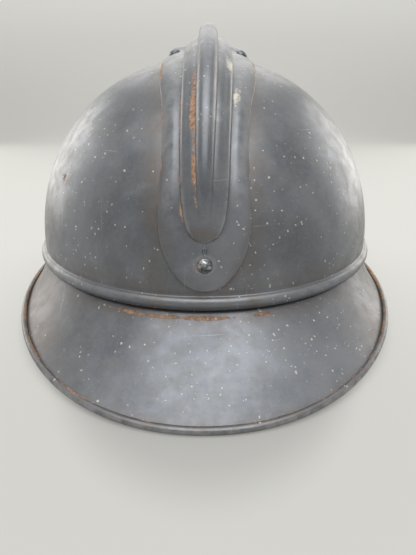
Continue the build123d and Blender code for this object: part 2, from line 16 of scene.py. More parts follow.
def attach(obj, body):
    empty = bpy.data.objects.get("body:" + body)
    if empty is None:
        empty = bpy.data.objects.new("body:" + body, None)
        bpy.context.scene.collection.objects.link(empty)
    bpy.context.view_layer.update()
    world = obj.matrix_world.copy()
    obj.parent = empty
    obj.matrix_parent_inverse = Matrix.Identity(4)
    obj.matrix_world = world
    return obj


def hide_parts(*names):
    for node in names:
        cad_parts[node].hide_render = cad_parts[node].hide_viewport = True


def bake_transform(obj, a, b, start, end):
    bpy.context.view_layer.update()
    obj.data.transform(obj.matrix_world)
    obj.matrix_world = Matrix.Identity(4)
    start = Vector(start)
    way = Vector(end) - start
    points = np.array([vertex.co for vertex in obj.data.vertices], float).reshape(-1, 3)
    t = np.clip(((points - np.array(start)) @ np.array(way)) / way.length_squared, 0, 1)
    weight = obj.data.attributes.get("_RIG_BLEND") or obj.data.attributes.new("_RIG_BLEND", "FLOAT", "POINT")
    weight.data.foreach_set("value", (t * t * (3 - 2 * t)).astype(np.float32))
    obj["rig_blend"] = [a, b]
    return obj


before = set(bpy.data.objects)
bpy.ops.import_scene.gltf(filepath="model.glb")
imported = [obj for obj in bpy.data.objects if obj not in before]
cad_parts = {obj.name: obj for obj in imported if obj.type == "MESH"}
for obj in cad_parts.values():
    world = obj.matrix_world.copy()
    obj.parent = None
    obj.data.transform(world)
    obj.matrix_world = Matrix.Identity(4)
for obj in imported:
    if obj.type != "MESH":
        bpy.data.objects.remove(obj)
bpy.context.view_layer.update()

# %% [markdown]
# ## Camera
# The picture was taken from close in front, looking slightly down, so the visor looks
# large and the dome recedes. A short lens near the helmet gives that perspective. A
# long lens from further away would show the same outline but flatten the visor.

# %% Put the camera where the photograph was taken
def new_object(name, data):
    """An object in the scene, from its mesh, lamp or camera."""
    made = bpy.data.objects.new(name, data)
    bpy.context.collection.objects.link(made)
    return made


camera_data = bpy.data.cameras.new("camera")
camera_data.lens, camera_data.sensor_width, camera_data.clip_start = 27.24, 36, 0.01
camera = new_object("camera", camera_data)
camera.location = (0.0006, -0.2668, 0.1147)
camera.rotation_euler = (math.radians(67.16), 0, math.radians(-0.27))
scene = bpy.context.scene
scene.camera = camera
scene.view_settings.view_transform = "Standard"
print("camera at", tuple(camera.location))

# %% [markdown]
# ## Nodes without clicking
# Materials here are long chains of the same few nodes. A small class keeps each chain
# readable: it adds a node and fills its sockets, and has a short name for each step
# that repeats. Two more classes below add what patterns and whole materials need.

# %% A chain of nodes, with a short name for each of its steps
class Chain:
    """A node tree that is built up step by step."""

    def __init__(self, tree):
        self.tree = tree

    def add(self, kind, settings=None, **sockets):
        """Add a node, set its properties and fill or link its inputs by name or number."""
        node = self.tree.nodes.new(kind)
        for name, value in (settings or {}).items():
            setattr(node, name, value)
        for name, value in sockets.items():
            socket = node.inputs[int(name[1:]) if name[1:].isdigit() else name.replace("_", " ")]
            if isinstance(value, bpy.types.NodeSocket):
                self.tree.links.new(value, socket)
            else:
                socket.default_value = value
        return node

    def math(self, operation, first, second, clamp=False):
        """One number worked out from two."""
        settings = {"operation": operation, "use_clamp": clamp}
        return self.add("ShaderNodeMath", settings, _0=first, _1=second).outputs[0]

    def times(self, first, second, clamp=False):
        return self.math("MULTIPLY", first, second, clamp)

    def plus(self, first, second, clamp=False):
        return self.math("ADD", first, second, clamp)

    def less(self, first, second, clamp=False):
        return self.math("SUBTRACT", first, second, clamp)

    def most(self, first, second):
        return self.math("MAXIMUM", first, second)

    def ramp(self, value, low, high, to_low=0.0, to_high=1.0):
        """Stretch a range of a value smoothly onto another range."""
        return self.add("ShaderNodeMapRange", {"interpolation_type": "SMOOTHSTEP"}, _0=value,
                        _1=low, _2=high, _3=to_low, _4=to_high).outputs[0]

    def shown(self, lit, seen):
        """A shader for the rays that light things, and another for those that look."""
        rays = self.add("ShaderNodeLightPath").outputs
        looking = self.most(rays["Is Camera Ray"], rays["Is Glossy Ray"])
        looking = self.most(looking, rays["Is Transmission Ray"])
        return self.add("ShaderNodeMixShader", _0=looking, _1=lit, _2=seen).outputs[0]

# %% [markdown]
# ## Floor, backdrop and lights
# The helmet stands in front of a plain pale sweep, lit from above by a very wide soft
# lamp, so that the upper dome and the visor carry broad pale reflections while the
# side that faces the camera stays dark. One sheet bent upwards gives a floor without
# a horizon line.

# %% Bend one sheet into floor and backdrop
def new_mesh(name, bm):
    """A mesh made from a bmesh, which is freed."""
    mesh = bpy.data.meshes.new(name)
    bm.to_mesh(mesh)
    bm.free()
    return mesh


bm = bmesh.new()
bmesh.ops.create_grid(bm, x_segments=1, y_segments=1, size=2.2)
back_edge = [e for e in bm.edges if all(v.co.y > 2 for v in e.verts)]
back_verts = [v for e in back_edge for v in e.verts]
bmesh.ops.translate(bm, verts=back_verts, vec=(0, -1.2, 0))
bmesh.ops.spin(bm, geom=back_edge + back_verts, cent=(0, 1.0, 0.6), axis=(1, 0, 0),
               angle=math.radians(85), steps=24)
top_edge = [e for e in bm.edges if len(e.link_faces) == 1 and all(v.co.z > 0.5 for v in e.verts)]
raised = bmesh.ops.extrude_edge_only(bm, edges=top_edge)["geom"]
bmesh.ops.translate(bm, verts=[g for g in raised if isinstance(g, bmesh.types.BMVert)],
                    vec=(0, 0.1, 2.0))
sweep_mesh = new_mesh("sweep", bm)
sweep_mesh.shade_smooth()
sweep = new_object("sweep", sweep_mesh)
print("sweep faces", len(sweep_mesh.polygons))

# %% A pale warm grey for the sweep
# Half of the sweep's tone is its own glow, so that it stays even, and half is lit, so
# that it keeps the helmet's shadow. The glow grows upwards and behind the helmet, and
# sinks in an oval round the helmet's foot: a painted shadow, deeper than the one that
# the wide lamp casts there. Camera and mirror rays see the glow. It lights nothing.
pale_grey = (0.71, 0.705, 0.665, 1)
glow_low, glow_high, glow_behind, lit_share = 0.93, 1.52, 0.3, 0.46
foot_half_width, foot_half_length, foot_ahead, foot_shade = 0.08, 0.15, 0.02, 0.58
sweep_paint = bpy.data.materials.new("pale_sweep")
sweep_paint.use_nodes = True
floor = Chain(sweep_paint.node_tree)
shader = floor.tree.nodes["Principled BSDF"]
shader.inputs["Base Color"].default_value = (0.58, 0.575, 0.545, 1)
shader.inputs["Roughness"].default_value = 0.9
shader.inputs["Specular IOR Level"].default_value = 0.1
x, y, z = floor.add("ShaderNodeSeparateXYZ",
                    Vector=floor.add("ShaderNodeTexCoord").outputs["Object"]).outputs
level = floor.plus(floor.ramp(z, 0.0, 0.7, glow_low, glow_high),
                   floor.ramp(y, -0.2, 0.08, 0.0, glow_behind))
level = floor.less(level, floor.ramp(y, 0.2, 1.2, 0.0, glow_behind))
# The oval round the helmet's foot, where the glow sinks: a painted shadow on the floor.
across = floor.math("POWER", floor.math("DIVIDE", x, foot_half_width), 2.0)
along = floor.math("DIVIDE", floor.plus(y, foot_ahead), foot_half_length)
painted_shadow_oval = floor.plus(across, floor.math("POWER", along, 2.0))
level = floor.times(level, floor.ramp(painted_shadow_oval, 0.8, 1.2, foot_shade, 1.0))
glow = floor.add("ShaderNodeEmission", Color=pale_grey, Strength=level)
lit = shader.outputs[0]
seen = floor.add("ShaderNodeMixShader", _0=lit_share, _1=glow.outputs[0], _2=lit).outputs[0]
floor.tree.links.new(floor.shown(lit, seen), floor.tree.nodes["Material Output"].inputs["Surface"])
sweep_mesh.materials.append(sweep_paint)

# %% Soft lamps and an even surround
warm = (1, 0.96, 0.91)


def area_lamp(name, place, target, size, power, colour=warm):
    """A square soft lamp turned towards a point, which the camera doesn't see."""
    data = bpy.data.lights.new(name, "AREA")
    data.shape, data.size, data.energy, data.color = "SQUARE", size, power, colour
    lamp = new_object(name, data)
    lamp.location = place
    lamp.rotation_euler = (Vector(target) - Vector(place)).to_track_quat("-Z", "Y").to_euler()
    lamp.visible_camera = False


area_lamp("overhead", (0, -0.42, 1.1), (0, 0, 0.05), 1.2, 12.8, (1, 1, 1))
area_lamp("behind", (0, 1.0, 0.95), (0, 0, 0.08), 1.1, 4.2)
for name, side in (("left_edge", -1), ("right_edge", 1)):
    area_lamp(name, (side * 0.85, 0.62, 0.3), (0, 0, 0.09), 0.7, 4.0)
world = bpy.data.worlds.new("surround")
world.use_nodes = True
surround = Chain(world.node_tree)
ambient = surround.tree.nodes["Background"]
ambient.inputs["Color"].default_value = (0.80, 0.82, 0.85, 1)
ambient.inputs["Strength"].default_value = 0.34
# Mirror rays see the surround dimmer in front, so the steel that faces the camera
# stays dark.
ahead = surround.add("ShaderNodeSeparateXYZ", Vector=surround.add(
    "ShaderNodeTexCoord").outputs["Generated"]).outputs["Y"]
dim = surround.times(surround.ramp(ahead, -0.95, -0.2, 0.55, 0.0),
                     surround.add("ShaderNodeLightPath").outputs["Is Glossy Ray"])
backdrop = surround.add("ShaderNodeBackground", Color=pale_grey,
                        Strength=surround.less(0.95, dim))
surround.tree.links.new(surround.shown(ambient.outputs[0], backdrop.outputs[0]),
                        surround.tree.nodes["World Output"].inputs["Surface"])
scene.world = world

# %% [markdown]
# ## Effects that several finishes share
# Old painted steel shows the same few marks everywhere: cloudy fading, rust that
# starts in seams and breaks up into islands, small pale chips, and hair scratches.
# Each is a node group that reads Object coordinates in metres, so that a mark has its
# real size on every piece.

# %% Patterns that are read at a place, and groups of them
class Pattern(Chain):
    """A chain whose noise is read at a place on the surface."""

    def __init__(self, tree, place):
        super().__init__(tree)
        self.place = place

    def noise(self, scale, output=0, **sockets):
        """Noise at the place of the surface, or at another place."""
        sockets.setdefault("Vector", self.place)
        return self.add("ShaderNodeTexNoise", Scale=scale, **sockets).outputs[output]

    def stretched(self, scale, turn=(0, 0, 0)):
        """The place, turned and stretched."""
        return self.add("ShaderNodeMapping", Vector=self.place, Rotation=turn,
                        Scale=scale).outputs[0]

    def half_more(self, value, gain):
        """A value times its gain, and a half, which is the node's own third number."""
        return self.math("MULTIPLY_ADD", value, gain)


def start_group(name, output, **inputs):
    """A shader group with a place and numbers going in, and one number coming out."""
    tree = bpy.data.node_groups.new(name, "ShaderNodeTree")
    tree.interface.new_socket("Place", in_out="INPUT", socket_type="NodeSocketVector")
    for label, value in inputs.items():
        socket = tree.interface.new_socket(label, in_out="INPUT", socket_type="NodeSocketFloat")
        socket.default_value = value
    tree.interface.new_socket(output, in_out="OUTPUT", socket_type="NodeSocketFloat")
    given = tree.nodes.new("NodeGroupInput").outputs
    return Pattern(tree, given["Place"]), given, tree.nodes.new("NodeGroupOutput").inputs[0]

# %% Cloud group: slow change over the surface
clouds, given, result = start_group("Clouds", "Mask", Scale=40.0, Low=0.35, High=0.65)
field = clouds.noise(given["Scale"], Detail=5.0, Roughness=0.62)
clouds.tree.links.new(clouds.ramp(field, given["Low"], given["High"]), result)
cloud_group = clouds.tree

# %% Break-up group: an even mask torn into islands with crisp edges
tears, given, result = start_group("Break up", "Mask", Amount=0.5, Scale=260.0, Crisp=5.0)
coarse = tears.noise(given["Scale"], Detail=6.0, Roughness=0.7)
slow = tears.noise(tears.times(given["Scale"], 0.13), Detail=2.0)
over = tears.less(tears.plus(given["Amount"], tears.plus(coarse, slow)), 1.5)
crisp = tears.times(over, given["Crisp"], clamp=True)
tears.tree.links.new(tears.times(crisp, tears.ramp(given["Amount"], 0.02, 0.2)), result)
tear_group = tears.tree

# %% Speckle group: scattered uneven chips of several sizes
specks, given, result = start_group("Speckles", "Mask", Scale=120.0, Size=0.1, Share=0.3)
shifted = specks.add("ShaderNodeVectorMath", {"operation": "SCALE"},
                     _0=specks.noise(900.0, output="Color"), Scale=0.0014)
moved = specks.add("ShaderNodeVectorMath", {"operation": "ADD"}, _0=specks.place,
                   _1=shifted.outputs[0])
cells = specks.add("ShaderNodeTexVoronoi", Vector=moved.outputs[0], Scale=given["Scale"])
dice = specks.add("ShaderNodeSeparateColor", Color=cells.outputs["Color"]).outputs
odds = specks.times(given["Share"], specks.ramp(specks.noise(26.0), 0.42, 0.64, 0.18, 2.5))
kept = specks.math("LESS_THAN", dice[0], odds)
size = specks.times(given["Size"], specks.half_more(specks.math("POWER", dice[1], 2.2), 2.2))
dot = specks.times(specks.less(size, cells.outputs["Distance"]), 22.0, clamp=True)
specks.tree.links.new(specks.times(dot, kept), result)
speck_group = specks.tree

# %% Scratch group: thin lines in two directions, only here and there
hairs, given, result = start_group("Scratches", "Mask", Scale=30.0, Share=0.5)
lines = []
for turn, stretch in (((0.3, 0.9, 0.2), (1, 1, 38)), ((1.2, 0.2, 0.8), (30, 1, 1))):
    streak = hairs.noise(given["Scale"], Vector=hairs.stretched(stretch, turn), Detail=2.0,
                         Distortion=0.4)
    lines.append(hairs.ramp(streak, 0.70, 0.74))
marks = hairs.times(hairs.most(*lines), hairs.ramp(hairs.noise(22.0), 0.5, 0.62))
hairs.tree.links.new(hairs.times(marks, given["Share"]), result)
scratch_group = hairs.tree

# %% Grain group: fine relief for a bump
grains, given, result = start_group("Grain", "Height", Scale=900.0, Amount=1.0)
fine = grains.noise(given["Scale"], Detail=4.0, Roughness=0.6)
grains.tree.links.new(grains.times(fine, given["Amount"]), result)
grain_group = grains.tree
print("groups", [g.name for g in bpy.data.node_groups])

# %% [markdown]
# ## Painted steel
# The shells share one finish: blue-grey paint gone satin, with a brown film near the
# seams, painted shade in the crest's creases and painted highlights on bends and hems.
# Marks painted on the mesh say where it changes: rust, film and shade, wear and
# highlight, and lime.
# The noise groups tear them up, so that a simple stripe on the mesh becomes real rust.

# %% Start a material
class Finish(Pattern):
    """A material whose patterns are read in metres and sent to its shader."""

    def __init__(self, name, metallic, roughness):
        self.material = bpy.data.materials.new(name)
        self.material.use_nodes = True
        tree = self.material.node_tree
        super().__init__(tree, tree.nodes.new("ShaderNodeTexCoord").outputs["Object"])
        self.shader = tree.nodes["Principled BSDF"]
        self.shader.inputs["Metallic"].default_value = metallic
        self.shader.inputs["Roughness"].default_value = roughness

    def lay(self, under, mask, over):
        """One colour laid over another by a mask."""
        return self.add("ShaderNodeMix", {"data_type": "RGBA"}, _0=mask, _6=under,
                        _7=over).outputs[2]

    def use(self, group, **sockets):
        """A shader group placed with its own values."""
        return self.add("ShaderNodeGroup", {"node_tree": group}, Place=self.place,
                        **sockets).outputs[0]

    def cloud(self, scale, low, high):
        """Slow cloudy change between two levels."""
        return self.use(cloud_group, Scale=scale, Low=low, High=high)

    def marked(self, name):
        """A mark kept on the mesh as an attribute."""
        return self.add("ShaderNodeAttribute", {"attribute_name": name}).outputs["Fac"]

    def send(self, socket, value):
        """Feed one of the shader's sockets."""
        self.tree.links.new(value, self.shader.inputs[socket])

    def bump(self, height, distance, strength):
        """Relief from a height, its depth in metres."""
        self.send("Normal", self.add("ShaderNodeBump", Strength=strength, Distance=distance,
                                     Height=height).outputs[0])


def colour(red, green, blue):
    """A colour given as it looks on a screen, 0 to 255, in the shader's linear values."""
    linear = [((c / 255 + 0.055) / 1.055) ** 2.4 for c in (red, green, blue)]
    return (*linear, 1)

# %% Paint, film and painted shade, painted highlights, rust, chips and scratches
def steel_paint(name, body, cloud):
    """Worn paint on pressed steel."""
    paint = Finish(name, 0.35, 0.4)
    mottle = paint.cloud(150.0, 0.3, 0.75)
    tone = paint.lay(body, paint.cloud(24.0, 0.36, 0.66), cloud)
    tone = paint.lay(tone, paint.times(mottle, 0.35), colour(118, 116, 112))
    grit = paint.times(paint.cloud(640.0, 0.38, 0.7), 0.17)
    tone = paint.lay(tone, grit, colour(142, 140, 136))
    bloom = paint.times(paint.cloud(95.0, 0.6, 0.78), 0.3)
    tone = paint.lay(tone, bloom, colour(158, 161, 162))
    # The film mark is a brown film, and in the crest's creases, along its flange's edge and on its step's
    # nose it is painted shade.
    brown_film_and_shade = paint.times(paint.marked("haze"), paint.half_more(paint.cloud(75.0, 0.25, 0.8), 0.7))
    tone = paint.lay(tone, paint.math("MINIMUM", brown_film_and_shade, 0.85), colour(103, 92, 82))
    # The wear mark makes rubbed paint lighter, and on the crest's bends and the hem's roll it is a painted
    # highlight.
    worn = paint.times(paint.marked("wear"), paint.cloud(210.0, 0.3, 0.62))
    tone = paint.lay(tone, paint.times(worn, 0.55), colour(168, 170, 172))
    scratches = paint.use(scratch_group, Scale=26.0, Share=0.55)
    tone = paint.lay(tone, scratches, colour(176, 178, 178))
    seam = paint.times(paint.marked("rust"), paint.half_more(paint.cloud(85.0, 0.32, 0.68), 0.6))
    rust = paint.use(tear_group, Amount=seam, Scale=480.0, Crisp=4.0)
    freckles = paint.use(speck_group, Scale=70.0, Size=0.07, Share=0.13)
    rust = paint.most(rust, paint.times(freckles, 0.8))
    rust_tone = paint.lay(colour(118, 88, 68), paint.cloud(700.0, 0.3, 0.7), colour(204, 158, 122))
    tone = paint.lay(tone, paint.times(rust, 0.86), rust_tone)
    chips = paint.use(speck_group, Scale=235.0, Size=0.048, Share=0.42)
    dust = paint.times(paint.use(speck_group, Scale=470.0, Size=0.1, Share=0.42), 0.7)
    crust = paint.use(tear_group, Amount=paint.marked("lime"), Scale=520.0, Crisp=4.0)
    pale = paint.most(paint.most(chips, dust), crust)
    paint.send("Base Color", paint.lay(tone, pale, colour(212, 208, 192)))
    rough = paint.plus(paint.ramp(mottle, 0.0, 1.0, 0.33, 0.45), paint.times(rust, 0.45))
    paint.send("Roughness", paint.plus(rough, paint.times(pale, 0.2), clamp=True))
    metal = paint.less(0.48, paint.times(rust, 0.48), clamp=True)
    paint.send("Metallic", paint.less(metal, paint.times(pale, 0.3), clamp=True))
    grain = paint.use(grain_group, Scale=1500.0, Amount=0.5)
    relief = paint.plus(paint.plus(grain, paint.times(rust, 0.7)), paint.times(pale, 0.5))
    paint.bump(relief, 0.00012, 0.55)
    return paint.material


shell_paint = steel_paint("shell_paint", colour(96, 100, 107), colour(122, 126, 133))
crest_paint = steel_paint("crest_paint", colour(102, 106, 113), colour(130, 134, 141))
print("paints", shell_paint.name, crest_paint.name)

# %% [markdown]
# ## Working in the bowl's own axes
# Every shell is drawn in millimetres about the middle of the bowl's base bead, as the
# CAD does, and one transform at the end lifts it onto the table in metres. This keeps
# the numbers those of a workshop drawing.

# %% Sizes of the drawing, in millimetres
bowl_half_width, bowl_half_length, bowl_height, bowl_power = 99.4, 110.2, 103.1, 2.08
sheet = 0.7
centre_y, seam_height = 6.6, 34.3
stretch = bowl_half_length / bowl_half_width
to_table = Matrix.Scale(0.001, 4) @ Matrix.Translation((0, centre_y, seam_height))


def bowl_radius(height, outset=0.0):
    """Radius of the round bowl's outer face at a height."""
    share = abs(height) / (bowl_height + outset)
    return (bowl_half_width + outset) * (1 - share ** bowl_power) ** (1 / bowl_power)


def bowl_top(radius, outset=0.0):
    """Height of the round bowl's outer face at a radius."""
    share = np.clip(np.asarray(radius) / (bowl_half_width + outset), 0, 1)
    return (bowl_height + outset) * (1 - share ** bowl_power) ** (1 / bowl_power)


def between(value, low, high):
    """0 below a range, 1 above it and even in between."""
    return min(1.0, max(0.0, (value - low) / (high - low)))


def eased(value, low=0.0, high=1.0):
    """0 below a range, 1 above it and smooth in between."""
    share = between(value, low, high)
    return share * share * (3 - 2 * share)


def hill(value, middle, reach):
    """1 at the middle, falling smoothly to 0 at a reach on both sides."""
    return eased(1 - abs(value - middle) / reach)

# %% Turn a bmesh into a piece of the helmet
def settle(bm, name, material, nodes=(), body="shell", corner=35):
    """Lift a drawing onto the table and make it a piece that rides on a body."""
    bmesh.ops.transform(bm, matrix=to_table, verts=bm.verts)
    mesh = new_mesh(name, bm)
    mesh.shade_smooth()
    mesh.set_sharp_from_angle(angle=math.radians(corner))
    mesh.materials.append(material)
    piece = new_object(name, mesh)
    if body:
        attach(piece, body)
    if nodes:
        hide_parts(*nodes)
    print(name, len(mesh.polygons), "faces")
    return piece


def give_sheet(piece, even=True):
    """Give a surface the sheet's thickness, half to each side."""
    wall = piece.modifiers.new("wall", "SOLIDIFY")
    wall.thickness, wall.offset, wall.use_even_offset = sheet / 1000, 0, even


def spun(outline, steps, closed=True):
    """An outline of radii and heights, spun once round the upright axis."""
    bm = bmesh.new()
    spots = [bm.verts.new((radius, 0, height)) for radius, height in outline]
    for first, second in zip(spots, spots[1:] + (spots[:1] if closed else [])):
        bm.edges.new((first, second))
    bmesh.ops.spin(bm, geom=bm.verts[:] + bm.edges[:], cent=(0, 0, 0), axis=(0, 0, 1),
                   angle=math.tau, steps=steps, use_merge=True)
    bmesh.ops.remove_doubles(bm, verts=bm.verts, dist=0.001)
    return bm


def mark(bm, **marks):
    """Paint named marks on the vertices, each worked out from a vertex."""
    for name, rule in marks.items():
        layer = bm.verts.layers.float.get(name) or bm.verts.layers.float.new(name)
        for vert in bm.verts:
            vert[layer] = rule(vert)

# %% [markdown]
# ## The bowl
# The real bowl is one pressing with a bead rolled round its base and a long vent
# under the crest. A closed outline of its wall is spun round the upright axis. The
# rings round the crown are then pulled into the vent's long slot, which a cut through
# a finished mesh would leave ragged, and at last the bowl is stretched lengthwise.

# %% Outline of the bowl's wall
bead_proud, bead_above, bead_below = 2.6, 2.4, 3.6
crown_hole, vent_reach, vent_half_length, vent_half_width = 6.0, 34, 29, 6.0


def wall_outline():
    """Closed outline from the crown down the outside, round the bead and up the inside."""
    spots = []
    for step in range(61):
        angle = math.radians(90) * step / 60
        radius = crown_hole + (bowl_radius(bead_above + 3.4) - crown_hole) * math.sin(angle)
        spots.append((radius, float(bowl_top(radius))))
    wall = bowl_half_width
    spots += [(bowl_radius(4.6), 4.6), (bowl_radius(3.6) - 0.15, 3.6), (wall - 0.2, 2.95)]
    spots += [(wall + 0.12, 2.45)]
    for step in range(1, 16):
        angle = math.radians(180) * step / 16
        spots.append((wall + bead_proud * math.sin(angle) ** 0.85,
                      (bead_above - bead_below) / 2 + 3.0 * math.cos(angle)))
    spots += [(wall + 0.05, -bead_below), (wall - sheet, -bead_below), (wall - sheet, 0.5)]
    for step in range(1, 31):
        angle = math.radians(90) * (1 - step / 30)
        inner = bowl_radius(1.0) - sheet
        radius = crown_hole + (inner - crown_hole) * math.sin(angle)
        spots.append((radius, float(bowl_top(radius, -sheet))))
    return spots


outline = wall_outline()
print("wall outline points", len(outline))

# %% Spin the outline, open the vent and stretch the bowl
def slot_point(angle, radius):
    """Point of the vent's rounded slot in a direction, eased into a circle further out."""
    across, along = math.cos(angle), math.sin(angle)
    straight = vent_half_length / stretch - vent_half_width
    long_way = abs(along) * straight + math.sqrt(
        max(0.0, vent_half_width ** 2 - (straight * across) ** 2))
    short = vent_half_width / max(abs(across), 1e-6)
    edge = short if abs(along) * short <= straight else long_way
    ease = eased(radius, crown_hole, crown_hole + vent_reach)
    distance = edge * (1 - ease) + radius * ease + (radius - crown_hole) * (1 - ease) * 0.3
    return across * distance, along * distance


bm = spun(outline, 240)
for vert in bm.verts:
    radius = math.hypot(vert.co.x, vert.co.y)
    if radius < crown_hole + vent_reach:
        outset = 0 if vert.co.z > float(bowl_top(radius, -sheet / 2)) else -sheet
        across, along = slot_point(math.atan2(vert.co.y, vert.co.x), radius)
        vert.co = (across, along, float(bowl_top(math.hypot(across, along), outset)))
bmesh.ops.scale(bm, vec=(1, stretch, 1), verts=bm.verts)
bmesh.ops.recalc_face_normals(bm, faces=bm.faces)

# %% Mark where the bowl rusts and browns
crest_tip_at = Vector((0, -107, 13))


def bowl_haze(vert):
    """Brown film near the bead, round the crest's front tip and at the sides."""
    low = hill(vert.co.z, 6, 9) * 0.3
    tip = hill((vert.co - crest_tip_at - Vector((4, 0, -1))).length, 0, 22) * 0.8
    side = between(abs(vert.co.x) / bowl_half_width, 0.62, 0.92) * 0.45
    beside_crest = hill(abs(vert.co.x), 21, 9) * 0.5
    radius = math.hypot(vert.co.x, vert.co.y / stretch)
    inside = 0.8 if radius < bowl_half_width - sheet - 0.05 and vert.co.z < 2 else 0
    return max(low, tip, side, beside_crest, inside)


mark(bm, haze=bowl_haze,
     rust=lambda v: max(0.8 * hill(v.co.z, -3.6, 1.2), 0.25 * hill(v.co.z, 3.2, 1.0),
                        0.5 * hill((v.co - crest_tip_at).length, 0, 9)),
     wear=lambda v: 0.45 * hill(v.co.z, 0.8, 1.6))
settle(bm, "bowl_shell", shell_paint, ["bowl"], corner=50)

# %% [markdown]
# ## Visor and neck guard
# Each is a pressed strip that flares out from under the bead and ends in a rolled
# hem. One cut through the strip is drawn as a run of points, and a grid is laid over
# all the cuts from one side round to the other. Rolling the hem as real sheet gives
# the groove where dirt and rust collect in the photograph.

# %% The section of the brim at an angle
side_reach, front_reach, rear_reach = 111.0, 153.6, 140.4
side_drop, end_drop, hem_radius = 25.5, 34.3, 1.7
brim_tuck, brim_flare = 1.2, 0.06
brim_start = bead_below + 0.2 + sheet / 2
sheet_steps, hem_steps = 34, 18
roll = hem_radius - sheet / 2


def brim_section(angle):
    """Points through the middle of the sheet at an angle, from the bead to the hem's lip."""
    across, along = math.cos(angle), math.sin(angle)
    power = 2 / bowl_power
    reach = (front_reach if along < 0 else rear_reach) - hem_radius
    rim_x = math.copysign(abs(across) ** power, across) * (side_reach - hem_radius)
    rim_y = math.copysign(abs(along) ** power, along) * reach
    inner = bowl_half_width - brim_tuck
    start = Vector((inner * across, inner * stretch * along, -brim_start))
    run = Vector((rim_x, rim_y, -brim_start)) - start
    fall = side_drop + (end_drop - side_drop) * along ** 2 - hem_radius
    hem = Vector((run.length, brim_start - fall))
    turn = 2 * math.atan(2 * brim_flare)
    heading = math.atan2(hem.y, hem.x) + turn
    lift = Vector((-math.sin(heading), math.cos(heading)))
    end = hem - lift * roll
    side = Vector((-end.y, end.x)).normalized()
    flat = []
    for step in range(sheet_steps + 1):
        share = step / sheet_steps
        share = share + 0.35 * math.sin(math.tau * share) / math.tau
        sag = 4 * brim_flare * end.length * share * (1 - share)
        flat.append(end * share - side * sag)
    for step in range(1, hem_steps + 1):
        around = heading - math.pi / 2 + math.radians(292) * step / hem_steps
        flat.append(hem + Vector((math.cos(around), math.sin(around))) * roll)
    out = run.normalized()
    return [start + out * p.x + Vector((0, 0, p.y)) for p in flat]

# %% Lay a grid over the sections
def brim_strip(first, stations=180):
    """Half of the brim, as a surface through the middle of its sheet."""
    seam = 0.15 / bowl_half_length
    columns = sheet_steps + hem_steps
    bm = bmesh.new()
    bmesh.ops.create_grid(bm, x_segments=columns, y_segments=stations, size=0.5)
    sections = [brim_section(first + seam + (math.pi - 2 * seam) * i / stations)
                for i in range(stations + 1)]
    runs = []
    for section in sections:
        steps = [(b - a).length for a, b in zip(section, section[1:sheet_steps + 1])]
        runs.append(np.concatenate([[0], np.cumsum(steps)]))
    out, left, rolled = (bm.verts.layers.float.new(name) for name in ("out", "left", "rolled"))
    for vert in bm.verts:
        column, row = round((vert.co.x + 0.5) * columns), round((vert.co.y + 0.5) * stations)
        on_sheet = min(column, sheet_steps)
        vert[out] = runs[row][on_sheet]
        vert[left] = runs[row][-1] - runs[row][on_sheet]
        vert[rolled] = (column - on_sheet) / hem_steps
        vert.co = sections[row][column]
    bmesh.ops.recalc_face_normals(bm, faces=bm.faces)
    return bm


def brim_marks(bm):
    """Rust by the bead, in the hem's groove and under the hem, film at the ends, and rubbed paint with a
    painted highlight along the hem's roll.
    """
    out, left, rolled = (bm.verts.layers.float[name] for name in ("out", "left", "rolled"))

    def patchy(vert, low, high):
        drift = noise.noise(Vector((vert.co.x * 0.045, vert.co.y * 0.045, 3.1)))
        return min(1.0, max(low, (low + high) / 2 + drift * (high - low)))

    def rust(vert):
        if vert[rolled] > 0:
            return max(0.36 * hill(vert[rolled], 0.2, 0.22), 0.9 * hill(vert[rolled], 0.85, 0.3))
        front = 1 - between(abs(vert.co.x), 68, 84)
        line = 4.3 - 2.9 * between(abs(vert.co.x), 0, 84) ** 2
        seam = patchy(vert, 1.0, 1.5) * front * hill(vert[out], line, 1.25)
        end = 1 - 0.5 * between(-vert.co.x, 70, 95)
        return max(seam, patchy(vert, 0.95, 1.5) * end * hill(vert[left], 1.0, 1.5))

    def haze(vert):
        side = between(abs(vert.co.x - 6) / side_reach, 0.5, 0.85)
        return max(0.6 * side, 0.45 * hill(vert[left], 0, 6), 0.35 * hill(vert[out], 4, 7),
                   0.5 if vert[rolled] > 0.7 else 0)

    # The wear mark on top of the hem's roll is rubbed paint and a painted highlight.
    mark(bm, rust=rust, haze=haze, wear=lambda v: hill(v[rolled], 0.42, 0.24))
    for name in ("out", "left", "rolled"):
        bm.verts.layers.float.remove(bm.verts.layers.float[name])


for name, node, first in (("visor_strip", "front_visor", math.pi),
                          ("guard_strip", "neck_guard", 0.0)):
    bm = brim_strip(first)
    brim_marks(bm)
    give_sheet(settle(bm, name, shell_paint, [node], corner=60))

# %% [markdown]
# ## The crest
# The crest is one pressing with three levels: a flat flange that lies on the bowl, a
# step, and a rounded ridge. Its cross-section changes along its whole length, so the
# same number of points is laid through each cut, and the cuts are stacked over the
# bowl. Loops that follow the bends keep the creases smooth where the levels meet.

